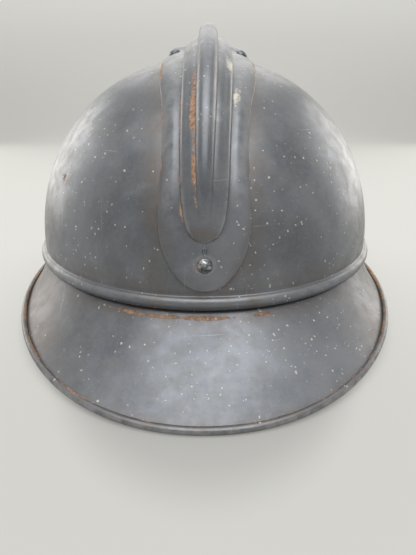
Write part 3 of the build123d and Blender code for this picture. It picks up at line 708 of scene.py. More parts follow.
# %% How wide each level is along the crest
# Each row is a place along the front curve, from 0 at the bead to 1 on top, and the
# share of its full width that the level has there.
crest_tip = 0.0335
flange_table = [
    (crest_tip, 0.02), (0.035, 0.10), (0.037, 0.16), (0.0405, 0.235), (0.046, 0.31),
    (0.056, 0.40), (0.07, 0.485), (0.09, 0.58), (0.12, 0.685), (0.15, 0.755), (0.185, 0.80),
    (0.218, 0.81), (0.303, 0.79), (0.392, 0.76), (0.466, 0.775), (0.563, 0.84), (0.671, 0.94),
    (0.83, 0.99), (1.0, 1.0)]
step_table = [
    (crest_tip, 0.06), (0.10, 0.12), (0.166, 0.18), (0.171, 0.31), (0.18, 0.45), (0.195, 0.58),
    (0.215, 0.67), (0.25, 0.745), (0.30, 0.785), (0.40, 0.82), (0.52, 0.86), (0.68, 0.91),
    (0.84, 0.95), (1.0, 1.0)]
ridge_table = [
    (crest_tip, 0.05), (0.12, 0.16), (0.19, 0.24), (0.205, 0.42), (0.22, 0.56), (0.245, 0.68),
    (0.29, 0.75), (0.38, 0.81), (0.50, 0.90), (0.65, 0.95), (0.82, 0.99), (1.0, 1.0)]
flange_half, step_half, ridge_half = 23.9, 12.2, 5.7
step_height, ridge_height, step_corner = 9.9, 16.0, 1.6
pan_height, arch_height, arch_reach = 2.3, 3.4, 0.046
step_nose, ridge_nose = 0.163, 0.2
crest_lift, crest_slide = 0.12 + sheet / 2, 1.9


def smooth_table(table, share):
    """Value of a table at a place, along a smooth curve through its rows."""
    places, values = zip(*table)
    slopes = np.gradient(values, places)
    low = min(max(int(np.searchsorted(places, share)) - 1, 0), len(places) - 2)
    high, gap = low + 1, places[low + 1] - places[low]
    t = between(share, places[low], places[high])
    ease = t * t * (3 - 2 * t)
    return ((1 - ease) * values[low] + ease * values[high]
            + gap * t * (1 - t) * ((1 - t) * slopes[low] - t * slopes[high]))


def rise(share, nose, power):
    """Share of its full height that a level has at a place along the crest."""
    along = (share - nose) / (1 - nose)
    return (1 - (1 - along) ** 2) ** power if along > 0 else 0.0

# %% Points through one cut
def even_spots(path, count):
    """The same path as an even number of spots, closer at its two ends."""
    path = np.array(path)
    steps = np.hypot(*np.diff(path, axis=0).T)
    lengths = np.concatenate([[0], np.cumsum(steps)])
    t = np.linspace(0, 1, count + 1)
    t = t - 0.09 * np.sin(math.tau * t)
    wanted = t * lengths[-1]
    return np.stack([np.interp(wanted, lengths, path[:, k]) for k in (0, 1)], axis=1)


ridge_count, step_count, flange_count = 15, 18, 14


def level_widths(share):
    """Half widths of flange, step and ridge at a place along the crest."""
    flange = flange_half * smooth_table(flange_table, share)
    step = min(step_half * smooth_table(step_table, share), flange * 0.75)
    return flange, step, min(ridge_half * smooth_table(ridge_table, share), step * 0.7)


def lean(flange, step):
    """How far the step's side leans out on its way down to the flange."""
    return min(0.25, 0.1 * (flange - step))


def flange_rise(share):
    """Height of the flange beside the step: a low pan, arched over the vent."""
    arch = math.exp(-((1 - share) / arch_reach) ** 2)
    return pan_height * eased(share, 0.05, 0.45) + arch_height * arch


def flange_height(across, share):
    """Height of the flange above the skin, falling to nothing at its edge."""
    flange, step, _ = level_widths(share)
    foot = step + lean(flange, step)
    out = between(across, foot, flange)
    fold = 0.35 + 0.22 * math.exp(-((1 - share) / 0.07) ** 2)
    return flange_rise(share) * (1 - max(0.0, (out - fold) / (1 - fold)) ** 1.5)


def half_cut(share):
    """Spots from the middle of the ridge out to the flange's edge, above the skin."""
    flange, step, ridge = level_widths(share)
    pan = flange_rise(share)
    step_up = pan + max((step_height - pan) * rise(share, step_nose, 0.6) - 0.3, 0.0)
    slope = 0.62 - 0.34 * math.exp(-((1 - share) / 0.08) ** 2)
    edge_up = pan + (step_up - pan) * slope
    ridge_up = max(ridge_height * rise(share, ridge_nose, 0.5) - step_up - 0.5, 0.0)
    crown = ridge * 0.77
    path = []
    low = max(0.0, (crown - ridge_up) / max(crown, 1e-6))
    for turn in range(13):
        angle = math.pi / 2 - (math.pi / 2 - math.asin(low)) * turn / 12
        path.append((crown * math.cos(angle), max(ridge_up - crown + crown * math.sin(angle), 0)))
    if ridge_up > 1.28 * ridge:
        side = ridge_up - 1.28 * ridge
        path += [(ridge, side), (ridge + 0.35, side * 0.4), (ridge + 1.1, 0.0)]
    foot = max(path[-1][0], 0.6 * ridge) + 0.05
    path.append((foot, 0.0))
    top = [(x, y + step_up) for x, y in even_spots(path, ridge_count)]
    corner = min(step_corner, 0.9 * (edge_up - pan) + 0.02, step * 0.4)
    path = []
    for turn in range(9):
        part = turn / 8
        path.append((foot + (step - corner - foot) * part,
                     step_up + (edge_up - step_up) * part * part))
    for turn in range(1, 9):
        angle = math.pi / 2 * (1 - turn / 8)
        path.append((step - corner + corner * math.cos(angle),
                     edge_up - corner + corner * math.sin(angle)))
    side_foot = step + lean(flange, step)
    path.append((side_foot, pan))
    middle = list(even_spots(path, step_count))[1:]
    run = [side_foot + (flange - side_foot) * part / 16 for part in range(17)]
    edge = list(even_spots([(x, flange_height(x, share)) for x in run], flange_count))[1:]
    spots = np.array(top + middle + edge)
    for _ in range(3):
        for joint in (ridge_count, ridge_count + step_count):
            part = slice(joint - 2, joint + 3)
            near = spots[joint - 3:joint + 2] + spots[joint - 1:joint + 4]
            spots[part] = (near + 2 * spots[part]) / 4
    return spots

# %% Stack the cuts over the bowl
def front_line(count=600):
    """The round bowl's front curve and how far along it each point lies."""
    angle = np.linspace(0, math.pi / 2, count)
    along = -bowl_half_width * np.cos(angle).clip(0) ** (2 / bowl_power)
    height = bowl_height * np.sin(angle) ** (2 / bowl_power)
    lengths = np.concatenate([[0], np.cumsum(np.hypot(np.diff(along), np.diff(height)))])
    return along, height, lengths / lengths[-1]


line_y, line_z, line_share = front_line()


def slid(share):
    """How far the crest sits to the wearer's left: nothing at its tips, most on top."""
    return crest_slide * eased(share, 0.25, 0.85)


def on_crest(share, spots, side):
    """Place one side of a cut on the bowl, each spot above the skin by its height."""
    y0, z0 = np.interp(share, line_share, line_y), np.interp(share, line_share, line_z)
    out_y = -(abs(y0) ** (bowl_power - 1)) / bowl_half_width ** bowl_power
    out_z = z0 ** (bowl_power - 1) / bowl_height ** bowl_power
    size = math.hypot(out_y, out_z)
    out_y, out_z = out_y / size, out_z / size
    across, up = side * spots[:, 0] + slid(share), spots[:, 1]
    wide, tall = bowl_half_width + crest_lift, bowl_height + crest_lift
    lift = np.full(len(across), crest_lift)

    def miss(lift):
        flat = np.sqrt(across ** 2 + (y0 + out_y * lift) ** 2)
        return (flat / wide) ** bowl_power + (abs(z0 + out_z * lift) / tall) ** bowl_power - 1

    for _ in range(8):
        lift = lift - miss(lift) / ((miss(lift + 0.01) - miss(lift - 0.01)) / 0.02)
    total = lift + up
    return np.stack([across, y0 + out_y * total, z0 + out_z * total], axis=1)


stations = 160
shares = crest_tip + (1 - crest_tip) * (np.linspace(0, 1, stations + 1) ** 1.35)
cuts = {side: [on_crest(share, half_cut(share), side) for share in shares] for side in (1, -1)}
print("crest cuts", len(cuts[1]), "of", len(cuts[1][0]), "spots a side")

# %% Lay a grid through the cuts
half_columns = len(cuts[1][0]) - 1
bm = bmesh.new()
bmesh.ops.create_grid(bm, x_segments=2 * half_columns, y_segments=2 * stations, size=0.5)
column_layer = bm.verts.layers.int.new("column")
share_layer = bm.verts.layers.float.new("share")
for vert in bm.verts:
    column = round((vert.co.x + 0.5) * 2 * half_columns) - half_columns
    row = round((vert.co.y + 0.5) * 2 * stations)
    station = min(row, 2 * stations - row)
    x, y, z = cuts[-1 if column < 0 else 1][station][abs(column)]
    vert[column_layer] = column
    vert[share_layer] = shares[station]
    vert.co = (x, (-y if row > stations else y) * stretch, z)
bmesh.ops.recalc_face_normals(bm, faces=bm.faces)
print("crest grid", len(bm.verts))

# %% Mark the crest's creases and edges
ridge_foot, step_foot = ridge_count, ridge_count + step_count
front_rivet_at = Vector((0, -108.4, 16.9))
ear_rust_across, ear_rust_along = 17.4, 10


def crest_rust(vert):
    """Rust in the creases, stronger on the wearer's right, and along the flange's edge."""
    column, share = vert[column_layer], vert[share_layer]
    drift = 0.5 + noise.noise(Vector((math.copysign(4, column), share * 15, vert.co.y * 0.01)))
    side = 1.0 if column < 0 else 0.15
    inner = side * hill(abs(column), ridge_foot + 3, 6.5) * between(share, 0.2, 0.3)
    inner *= 1 - 0.85 * between(share, 0.56, 0.68)
    outer = side * 0.95 * hill(abs(column), step_foot, 5) * between(share, 0.18, 0.25)
    outer *= 1 - 0.8 * between(share, 0.5, 0.6)
    edge = (0.35 + 0.7 * drift) * hill(abs(column), half_columns, 5) * between(share, 0.1, 0.3)
    beside = (abs(vert.co.x - crest_slide) - ear_rust_across, abs(vert.co.y) - ear_rust_along)
    rivet = 0.9 * hill(math.hypot(*beside), 0, 6.5)
    gap = (vert.co - front_rivet_at - Vector((-0.6, 0, 0))).length
    front = 0.95 * hill(gap, 3.7, 1.9) * (1 - between(vert.co.x, -2, 1))
    return max(inner, outer, edge, rivet, front)


def crest_haze(vert):
    """Brown film and painted shade in the creases, along the flange's edge and on the step's nose."""
    column, share = abs(vert[column_layer]), vert[share_layer]
    # The step's nose is made darker: painted shade in the recess.
    nose = 0.9 * hill(share, 0.185, 0.035) * (1 - between(column, step_foot - 4, step_foot))
    return max(0.4 * hill(column, step_foot, 4) * between(share, 0.165, 0.2), nose,
               0.6 * hill(column, half_columns, 6),
               0.5 * hill(column, ridge_foot, 5) * between(share, 0.2, 0.3))


def crest_wear_and_highlight(vert):
    """Rubbed lines and a painted highlight on the step's bend, a painted highlight where the flange swells,
    and rubbed lines on the flange's lip and round the front rivet.
    """
    column, share = abs(vert[column_layer]), vert[share_layer]
    gap = (vert.co - front_rivet_at).length
    # Where the flange swells it is lighter: a painted highlight.
    painted_flange_highlight = hill(column, step_foot + 7, 5) * between(share, 0.12, 0.3)
    painted_flange_highlight *= 1 - between(share, 0.6, 0.8)
    return max(0.75 * hill(column, step_foot - 5, 3) * between(share, 0.165, 0.2), 0.6 * painted_flange_highlight,
               0.4 * hill(column, half_columns, 2), 0.8 * hill(gap, 4.1, 1.2))


def crest_lime(vert):
    """Cream crust on the wearer's left, beside the ridge near the top."""
    column, share = vert[column_layer], vert[share_layer]
    if column < 0:
        return 0.0
    return 0.74 * max(hill(column, ridge_foot + 10, 9) * hill(share, 0.66, 0.14),
                      hill(column, step_foot + 4, 6) * hill(share, 0.55, 0.12))


mark(bm, rust=crest_rust, haze=crest_haze, wear=crest_wear_and_highlight, lime=crest_lime)
give_sheet(settle(bm, "crest_pressing", crest_paint, ["crest"], corner=70),
           even=False)

# %% [markdown]
# ## Rivets
# Four rivets hold the crest. Each has a low head outside, a shank through both sheets
# and a spread tail inside. One outline per rivet is spun round its own axis, and a
# little noise gives the head the flats that a hammer leaves, which a perfect dome
# would not catch in the light.

# %% Steel that was painted once and is rubbed bare
def bare_steel(name, dark, light, roughness, rust_share):
    """Rubbed steel with dark stains and a little rust."""
    steel = Finish(name, 0.85, roughness)
    stain = steel.cloud(330.0, 0.38, 0.62)
    rust = steel.use(tear_group, Amount=rust_share, Scale=500.0, Crisp=4.0)
    rust_tone = steel.lay(colour(88, 54, 36), steel.cloud(900.0, 0.3, 0.7), colour(158, 100, 64))
    steel.send("Base Color", steel.lay(steel.lay(dark, stain, light), rust, rust_tone))
    rough = steel.ramp(stain, 0.0, 1.0, roughness + 0.15, roughness - 0.08)
    steel.send("Roughness", steel.plus(rough, steel.times(rust, 0.4), clamp=True))
    steel.send("Metallic", steel.less(0.85, steel.times(rust, 0.8)))
    steel.bump(steel.use(grain_group, Scale=1900.0, Amount=1.0), 0.0001, 0.5)
    return steel.material


worn_rivet = bare_steel("worn_rivet", colour(58, 60, 64), colour(176, 177, 178), 0.3, 0.25)
dark_rivet = bare_steel("dark_rivet", colour(66, 70, 78), colour(112, 117, 125), 0.42, 0.25)
lug_steel = bare_steel("lug_steel", colour(62, 63, 66), colour(104, 105, 106), 0.5, 0.6)
ring_steel = bare_steel("ring_steel", colour(96, 96, 98), colour(158, 158, 156), 0.36, 0.5)

# %% Spin one rivet and seat it on the flange
def bowl_seat(across, along, lift):
    """Where a rivet sits on the stretched bowl, and which way its head points."""
    flat = math.hypot(across / bowl_half_width, along / bowl_half_length)
    height = bowl_height * (1 - flat ** bowl_power) ** (1 / bowl_power)
    slope = flat ** (bowl_power - 2)
    out = Vector((slope * across / bowl_half_width ** 2, slope * along / bowl_half_length ** 2,
                  height ** (bowl_power - 1) / bowl_height ** bowl_power)).normalized()
    return Vector((across, along, height)) + out * lift, out


def flange_seat(across, along):
    """Where a rivet's head rests on the flange's arch, and which way it points."""
    def spot(across, share):
        cut = np.array([[abs(across), flange_height(abs(across), share)]])
        x, y, z = on_crest(share, cut, 1 if across > 0 else -1)[0]
        return Vector((x, y * stretch, z))

    low, high = 0.8, 1.0
    for _ in range(20):
        share = (low + high) / 2
        low, high = (share, high) if spot(across, share).y < along else (low, share)
    out = (spot(across + 0.2, share) - spot(across - 0.2, share)).cross(
        spot(across, share) - spot(across, share - 0.004)).normalized()
    out = out if out.z > 0 else -out
    return spot(across, share) + out * (sheet / 2 + 0.05), out


def rivet_piece(name, node, across, along, head, height, flat, material):
    """A rivet with a hammered head, a shank and a spread tail."""
    grip, shank, tail, lift = 1.85, 1.3, 2.08, 1.06
    radius = ((head / 2) ** 2 + height ** 2) / (2 * height)
    outline = []
    for step in range(13):
        turn = math.asin(head / 2 / radius) * step / 12
        top = height - radius * (1 - math.cos(turn))
        outline.append((radius * math.sin(turn), min(top, height * flat) + 0.12))
    outline += [(head / 2, 0.0), (shank, 0.0), (shank, -grip), (tail - 0.15, -grip),
                (tail, -grip - 0.2), (tail, -grip - 0.55), (tail - 0.5, -grip - 0.8),
                (0.0, -grip - 0.8)]
    bm = spun(outline, 40, closed=False)
    bmesh.ops.recalc_face_normals(bm, faces=bm.faces)
    for vert in bm.verts:
        if vert.co.z > 0.3:
            dent = noise.noise(vert.co * 0.9 + Vector((across, along, 0)))
            vert.co += vert.normal * 0.09 * dent
    upright = Vector((0, 0, 1))
    seat, out = bowl_seat(across + (crest_slide if across else 0), along, lift)
    head_seat, head_out = flange_seat(across, along) if across else (seat, out)
    turn = upright.rotation_difference(out).to_matrix()
    head_turn = upright.rotation_difference(head_out).to_matrix()
    for vert in bm.verts:
        low = vert.co.z < -grip / 2
        vert.co = seat + turn @ vert.co if low else head_seat + head_turn @ vert.co
    settle(bm, name, material, [node], corner=40)


front_along = bowl_radius(16.6) * stretch
rivet_piece("front_rivet", "crest_rivet_front", 0, -front_along, 6.6, 1.9, 0.93, worn_rivet)
rivet_piece("rear_rivet", "crest_rivet_rear", 0, front_along, 6.6, 1.9, 0.95, worn_rivet)
for name, node, across in (("left_top_rivet", "crest_rivet_left", 18.4),
                           ("right_top_rivet", "crest_rivet_right", -18.4)):
    rivet_piece(name, node, across, -12.0, 6.4, 1.5, 1.0, dark_rivet)

# %% [markdown]
# ## Leather, felt and thread
# Vegetable-tanned leather shows a pebbled grain, darker where hands and sweat have
# polished it and paler on its rubbed edges. Felt has no shine and a fibrous nap. The
# grain is a cell pattern in the bump, and the sheen of the felt is on the shader.

# %% Leather and thread
def leather(name, dark, light, roughness):
    """Old leather with grain, stains and rubbed edges."""
    hide = Finish(name, 0.0, roughness)
    stain, crease = hide.cloud(55.0, 0.3, 0.7), hide.marked("crease")
    tone = hide.lay(dark, stain, light)
    tone = hide.lay(tone, hide.times(hide.cloud(420.0, 0.4, 0.7), 0.3), light)
    rubbed = hide.times(hide.marked("wear"), hide.cloud(260.0, 0.3, 0.6))
    tone = hide.lay(tone, rubbed, tuple(min(1.0, c * 2.6) for c in light[:3]) + (1,))
    tone = hide.lay(tone, hide.times(crease, 0.7), tuple(c * 0.3 for c in dark[:3]) + (1,))
    hide.send("Base Color", tone)
    hide.send("Roughness", hide.ramp(stain, 0.0, 1.0, roughness - 0.1, roughness + 0.12))
    pebble = hide.add("ShaderNodeTexVoronoi", {"feature": "SMOOTH_F1"}, Vector=hide.place,
                      Scale=1100.0).outputs["Distance"]
    relief = hide.plus(pebble, hide.use(grain_group, Scale=1700.0, Amount=0.5))
    hide.bump(hide.less(relief, hide.times(crease, 2.0)), 0.00022, 0.6)
    return hide.material


strap_leather = leather("strap_leather", colour(74, 46, 28), colour(116, 78, 48), 0.5)
liner_leather = leather("liner_leather", colour(58, 42, 32), colour(92, 70, 52), 0.58)
flax = Finish("linen_thread", 0.0, 0.8)
soil = flax.cloud(600.0, 0.3, 0.7)
flax.send("Base Color", flax.lay(colour(150, 132, 100), soil, colour(205, 192, 160)))
flax.bump(flax.use(grain_group, Scale=3200.0, Amount=1.0), 0.0001, 0.6)
thread = flax.material

# %% Felt and spacer metal
wool = Finish("felt_wool", 0.0, 0.95)
tone = wool.lay(colour(48, 50, 58), wool.cloud(380.0, 0.3, 0.7), colour(86, 88, 96))
fibre = wool.noise(500.0, Vector=wool.stretched((1, 1, 9)), Detail=6.0, Distortion=1.5)
tone = wool.lay(tone, wool.ramp(fibre, 0.55, 0.75, 0, 0.5), colour(140, 138, 134))
wool.send("Base Color", tone)
wool.shader.inputs["Sheen Weight"].default_value = 0.4
wool.bump(fibre, 0.0004, 0.8)
felt_wool = wool.material

foil = Finish("spacer_metal", 0.9, 0.42)
tone = foil.lay(colour(150, 151, 152), foil.cloud(160.0, 0.3, 0.7), colour(192, 192, 190))
stains = foil.use(speck_group, Scale=300.0, Size=0.1, Share=0.3)
foil.send("Base Color", foil.lay(tone, stains, colour(96, 92, 86)))
streaks = foil.noise(120.0, Vector=foil.stretched((1, 1, 30)), Detail=3.0)
foil.send("Roughness", foil.ramp(streaks, 0.3, 0.7, 0.34, 0.52))
foil.bump(streaks, 0.00008, 0.4)
spacer_metal = foil.material
print("finishes", len(bpy.data.materials))

# %% [markdown]
# ## The liner
# A band of felt and a leather sweatband lie inside the bowl, held off it by corrugated
# spacers. Both bands lean with the bowl's wall. A closed outline is spun round the
# upright axis and stretched like the bowl, and low noise makes it hand-fitted.

# %% Spin the felt band and the sweatband
def wall_radius(height, inset):
    """Radius of a layer inside the round bowl."""
    return bowl_radius(height) - sheet - inset


def wall_band(inset, thickness, low, high, edge, unevenness):
    """A closed band with rounded edges that leans with the bowl's wall."""
    steps = 26
    outer, inner = [], []
    for step in range(steps + 1):
        height = low + (high - low) * step / steps
        worn = edge * (1 - min(1.0, min(step, steps - step) / 2)) ** 2
        outer.append((wall_radius(height, inset + worn), height))
        inner.append((wall_radius(height, inset + thickness - worn), height))
    bm = spun(outer + inner[::-1], 220)
    bmesh.ops.scale(bm, vec=(1, stretch, 1), verts=bm.verts)
    bmesh.ops.recalc_face_normals(bm, faces=bm.faces)
    for vert in bm.verts:
        vert.co += vert.normal * unevenness * noise.noise(vert.co * 0.07)
    return bm


seam_row, hem_row = 33.2, 4.6
bm = wall_band(7.7, 3.0, 3, 36, edge=1.1, unevenness=0.12)
settle(bm, "felt_ring", felt_wool, ["felt_band"])
bm = wall_band(11.0, 1.5, 1, 38, edge=0.5, unevenness=0.1)
mark(bm, wear=lambda v: max(0.9 * hill(v.co.z, 1, 2.2), 0.6 * hill(v.co.z, 38, 1.8)),
     crease=lambda v: max(hill(v.co.z, seam_row, 0.9), 0.7 * hill(v.co.z, hem_row, 0.8)))
settle(bm, "sweat_ring", liner_leather, ["sweatband"])

# %% [markdown]
# ## Tongues of the liner
# Seven leather tongues rise from the sweatband and close over the head round an open
# crown. Each is a grid bent over the crown's curve and narrowed to its outline. The
# eyelet near the tip is a real hole, cut with a Boolean before the edges are rounded.

# %% Curve of the crown and outline of a tongue
tongue_low, tongue_bend, tongue_inset, tongue_leather = 26.0, 38.0, 12.7, 1.3
tip_radius, tip_height, nose_width, base_width = 20.0, 80.0, 5.5, 34.0


def crown_curve(count=60):
    """Radius and height through the middle of the leather, from the seam to the tip."""
    low = Vector((wall_radius(tongue_low, tongue_inset), tongue_low))
    bend = Vector((wall_radius(tongue_bend, tongue_inset), tongue_bend))
    tip = Vector((tip_radius, tip_height))
    up = (bend - low).normalized()
    inward = Vector((-up.y, up.x))
    chord = tip - bend
    radius = chord.length_squared / (2 * chord.dot(inward))
    centre = bend + inward * radius
    start = bend - centre
    turn = start.angle(tip - centre)
    half = tongue_leather / 2
    spots = [low.lerp(bend, k / 8) + inward * half for k in range(8)]
    for step in range(count + 1):
        spoke = start.copy()
        spoke.rotate(Matrix.Rotation(turn * step / count, 2))
        spots.append(centre + spoke.normalized() * (radius - half))
    return np.array([tuple(p) for p in spots])


curve = crown_curve()
tongue_rows = [(tip_radius + nose_width, nose_width), (38.1, 15.3), (47.7, 21.8),
               (99.4, base_width)]


def tongue_half(distance):
    """Half width of a tongue at a distance from the helmet's middle."""
    if distance < tip_radius + nose_width:
        share = min(1.0, (tip_radius + nose_width - distance) / nose_width)
        return nose_width * math.sqrt(max(0.0, 1 - share * share))
    return float(np.interp(distance, *zip(*tongue_rows)))


def limp(height):
    """How slack the leather is at a height."""
    return max(0.0, height - 44) / 36

# %% Bend a grid into one tongue
def tongue_grid(rows=56, columns=22):
    """One tongue over the crown's curve, pointing along +X."""
    lengths = np.concatenate([[0], np.cumsum(np.hypot(*np.diff(curve, axis=0).T))])
    bm = bmesh.new()
    bmesh.ops.create_grid(bm, x_segments=columns, y_segments=rows, size=0.5)
    for vert in bm.verts:
        across, up = vert.co.x * 2, vert.co.y + 0.5
        up = math.sin(up * math.pi / 2) if up > 0 else 0
        radius = np.interp(up * lengths[-1], lengths, curve[:, 0])
        height = np.interp(up * lengths[-1], lengths, curve[:, 1])
        edge = 0.0
        for _ in range(6):
            edge = math.asin(min(0.98, tongue_half(radius * math.cos(edge)) / radius))
        turn = across * edge
        height += limp(height) * 0.9 * math.sin(across * 3.1 + 0.8) * (0.4 + up)
        vert.co = (radius * math.cos(turn), radius * math.sin(turn), height)
    return bm


eyelet_radius = 1.6
bm = bmesh.new()
bmesh.ops.create_cone(bm, cap_ends=True, segments=24, radius1=eyelet_radius,
                      radius2=eyelet_radius, depth=30)
bmesh.ops.translate(bm, verts=bm.verts, vec=(tip_radius + 5, 0, tip_height - 1))
eyelet_cutter = new_object("eyelet_cutter", new_mesh("eyelet_cutter", bm))

bm = tongue_grid()
mark(bm, wear=lambda v: max(0.8 * hill(v.co.z, tip_height, 5), 0.5 if v.is_boundary else 0.0),
     crease=lambda v: 0.8 * hill(v.co.z, 39.5, 1.2))
bmesh.ops.recalc_face_normals(bm, faces=bm.faces)
blank = new_object("tongue_blank", new_mesh("tongue_blank", bm))
wall = blank.modifiers.new("leather", "SOLIDIFY")
wall.thickness, wall.offset, wall.use_even_offset = tongue_leather, 0, True
hole = blank.modifiers.new("eyelet", "BOOLEAN")
hole.operation, hole.object, hole.solver = "DIFFERENCE", eyelet_cutter, "EXACT"
edge = blank.modifiers.new("edge", "BEVEL")
edge.width, edge.segments, edge.limit_method = 0.3, 2, "ANGLE"
edge.angle_limit = math.radians(50)
bpy.context.view_layer.update()
tongue_mesh = bpy.data.meshes.new_from_object(
    blank.evaluated_get(bpy.context.evaluated_depsgraph_get()))
bpy.data.objects.remove(blank)
bpy.data.objects.remove(eyelet_cutter)
print("tongue faces", len(tongue_mesh.polygons))

# %% Set seven tongues round the crown
for number in range(1, 8):
    bm = bmesh.new()
    bm.from_mesh(tongue_mesh)
    turn = Matrix.Rotation(math.radians(360 * (number - 1) / 7 + 270), 4, "Z")
    bmesh.ops.transform(bm, matrix=turn, verts=bm.verts)
    bmesh.ops.scale(bm, vec=(1, stretch, 1), verts=bm.verts)
    for vert in bm.verts:
        drift = noise.noise(vert.co * 0.05 + Vector((number * 3.7, 0, 0)))
        vert.co.z += 0.8 * limp(vert.co.z) * drift
    settle(bm, f"tongue_{number}", liner_leather, [f"liner_tongue_{number}"])

# %% [markdown]
# ## Stitches
# A row of linen stitches sews the tongues to the sweatband. One stitch is a small
# sphere stretched into a short raised thread. It has few faces, because it is repeated
# all the way round the band.

# %% Sew a row of stitches round the band
stitch_count, stitch_length, stitch_thick, stitch_inset = 170, 2.4, 0.5, 12.62


def add_stitch(bm, place, ahead, out):
    """One raised stitch along a direction."""
    made = bmesh.ops.create_icosphere(bm, subdivisions=1, radius=0.5)["verts"]
    axes = Matrix((ahead * stitch_length, ahead.cross(out) * stitch_thick, out * stitch_thick))
    turn = Matrix.Translation(place) @ axes.transposed().to_4x4()
    bmesh.ops.transform(bm, matrix=turn, verts=made)


bm = bmesh.new()
for index in range(stitch_count):
    angle = math.tau * index / stitch_count
    radius = wall_radius(seam_row, stitch_inset)
    place = Vector((radius * math.cos(angle), radius * stretch * math.sin(angle), seam_row))
    out = Vector((math.cos(angle), math.sin(angle) / stretch, 0)).normalized()
    add_stitch(bm, place, Vector((-out.y, out.x, 0)), out)
settle(bm, "liner_stitches", thread, corner=80)

# %% [markdown]
# ## The chin strap
# The strap is one narrow leather strip: it laps back on itself at the left ring,
# crosses under the chin, rounds the right ring and comes back through the slide. Its
# cut end is drawn as a small loop of edges that is extruded along the strap, straight
# or turned about a bend's centre, so the strip keeps its width and thickness.

# %% Where the strap runs
strap_width, strap_thick = 14.0, 1.6
low_layer, high_layer, strap_turn = 2.4 - seam_height, 5.6 - seam_height, 2.6
ring_bar = Vector((85.62, 0, 12.5 - seam_height))


def strap_loop(side):
    """Points where the strap rounds a ring's bar, from its lower to its upper layer."""
    bar = Vector((side * ring_bar.x, 0, ring_bar.z))
    chord = bar - Vector((side * 50, 0, low_layer))
    angle = math.atan2(chord.z, side * chord.x) - math.asin(strap_turn / chord.length)
    away = Vector((side * math.cos(angle), 0, math.sin(angle)))
    up = Vector((-side * math.sin(angle), 0, math.cos(angle)))
    return bar, away, up, bar + away * strap_turn - up * strap_turn, \
        bar + away * strap_turn + up * strap_turn


bar, away, up, low, high = strap_loop(1)
layer = strap_thick + 0.2 - strap_turn
left_route = [Vector((0, 0, low_layer)), Vector((50, 0, low_layer)), low, high,
              bar - away * 3 + up * strap_turn, bar - away * 11 + up * layer,
              bar - away * 22 + up * layer]
left_bends = [12, 2.4, 2.4, 3, 6]
bar, away, up, low, high = strap_loop(-1)
right_route = [Vector((0, 0, low_layer)), Vector((-50, 0, low_layer)), low, high,
               Vector((-50, 0, high_layer)), Vector((46, 0, high_layer))]
right_bends = [12, 2.4, 2.4, 12]

# %% Extrude the strip along its run
def strip_end(place, ahead):
    """Cut end of the strip: a flat loop with rounded corners."""
    side = Vector((0, 1, 0))
    up = ahead.cross(side).normalized()
    spots = []
    for across in np.linspace(-0.5, 0.5, 17):
        ease = max(0.0, abs(across) - 0.47) / 0.03
        spots.append((across * strap_width, strap_thick / 2 * (1 - 0.55 * ease ** 2)))
    spots += [(x, -y) for x, y in spots[::-1]]
    return [place + side * x + up * y for x, y in spots]


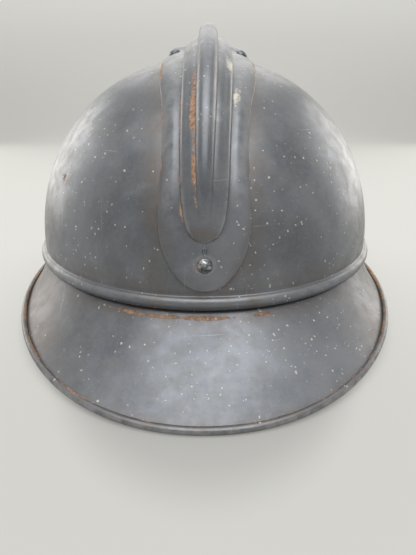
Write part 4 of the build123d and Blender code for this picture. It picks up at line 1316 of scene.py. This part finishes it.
def strap_strip(route, bends):
    """Solid strip along a route with rounded bends."""
    bm = bmesh.new()
    along_layer = bm.verts.layers.float.new("along")
    ahead = (route[1] - route[0]).normalized()
    loop = [bm.verts.new(spot) for spot in strip_end(route[0], ahead)]
    edges = [bm.edges.new(pair) for pair in zip(loop, loop[1:] + loop[:1])]
    first, travelled, spot = list(edges), 0.0, route[0]

    def advance(matrix, length):
        nonlocal edges, travelled
        made = bmesh.ops.extrude_edge_only(bm, edges=edges)["geom"]
        verts = [g for g in made if isinstance(g, bmesh.types.BMVert)]
        edges = [g for g in made if isinstance(g, bmesh.types.BMEdge)
                 and all(v in verts for v in g.verts)]
        bmesh.ops.transform(bm, matrix=matrix, verts=verts)
        travelled += length
        for vert in verts:
            vert[along_layer] = travelled

    for index, corner in enumerate(route[1:]):
        last = index == len(route) - 2
        following = ahead if last else (route[index + 2] - corner).normalized()
        turn = 0.0 if last else ahead.angle(following)
        bend = 0.0 if last else bends[index]
        tangent = bend * math.tan(turn / 2)
        run = (corner - spot).length - tangent
        steps = max(1, round(run / 3))
        for _ in range(steps):
            advance(Matrix.Translation(ahead * run / steps), run / steps)
        if not last:
            axis = ahead.cross(following).normalized()
            inward = axis.cross(ahead)
            centre = corner - ahead * tangent + inward * bend
            count = max(3, round(math.degrees(turn) / 12))
            part = Matrix.Translation(centre) @ Matrix.Rotation(turn / count, 4, axis) \
                @ Matrix.Translation(-centre)
            for _ in range(count):
                advance(part, bend * turn / count)
            spot = corner + following * tangent
            ahead = following
    for end in (first, edges):
        bmesh.ops.edgeloop_fill(bm, edges=end)
    bmesh.ops.recalc_face_normals(bm, faces=bm.faces)
    print("strip length", round(travelled, 1))
    return bm

# %% Mark the strap and hang it between the bodies
def strap_piece(name, route, bends, ring, side):
    """One half of the strap, bending between the shell and a ring."""
    bm = strap_strip(route, bends)
    mark(bm, wear=lambda v: 1.0 if abs(v.co.y) > 6.5 else 0.0,
         crease=lambda v: 0.9 * hill(abs(v.co.y), 5.25, 1.0))
    piece = settle(bm, name, strap_leather, ["chin_strap"], body=None,
                   corner=50)
    start = to_table @ Vector((side * 52, 0, 3 - seam_height))
    end = to_table @ Vector((side * 84, 0, 13 - seam_height))
    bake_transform(piece, "shell", ring, start=start, end=end)


strap_piece("strap_left_half", left_route, left_bends, "left_ring", 1)
strap_piece("strap_right_half", right_route, right_bends, "right_ring", -1)

# %% Finish the small CAD parts that are shown as they are
for material, nodes in (
        (lug_steel, ["left_strap_lug", "right_strap_lug", "liner_lug_1", "liner_lug_2",
                     "liner_lug_3", "liner_lug_4"]),
        (dark_rivet, ["left_lug_rivets", "right_lug_rivets"]),
        (ring_steel, ["left_strap_ring", "right_strap_ring", "strap_slide"]),
        (spacer_metal, ["spacer_left", "spacer_rear", "spacer_right", "spacer_front"])):
    for node in nodes:
        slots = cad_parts[node].data.materials
        slots.clear()
        slots.append(material)
    print(material.name, "on", ", ".join(nodes))
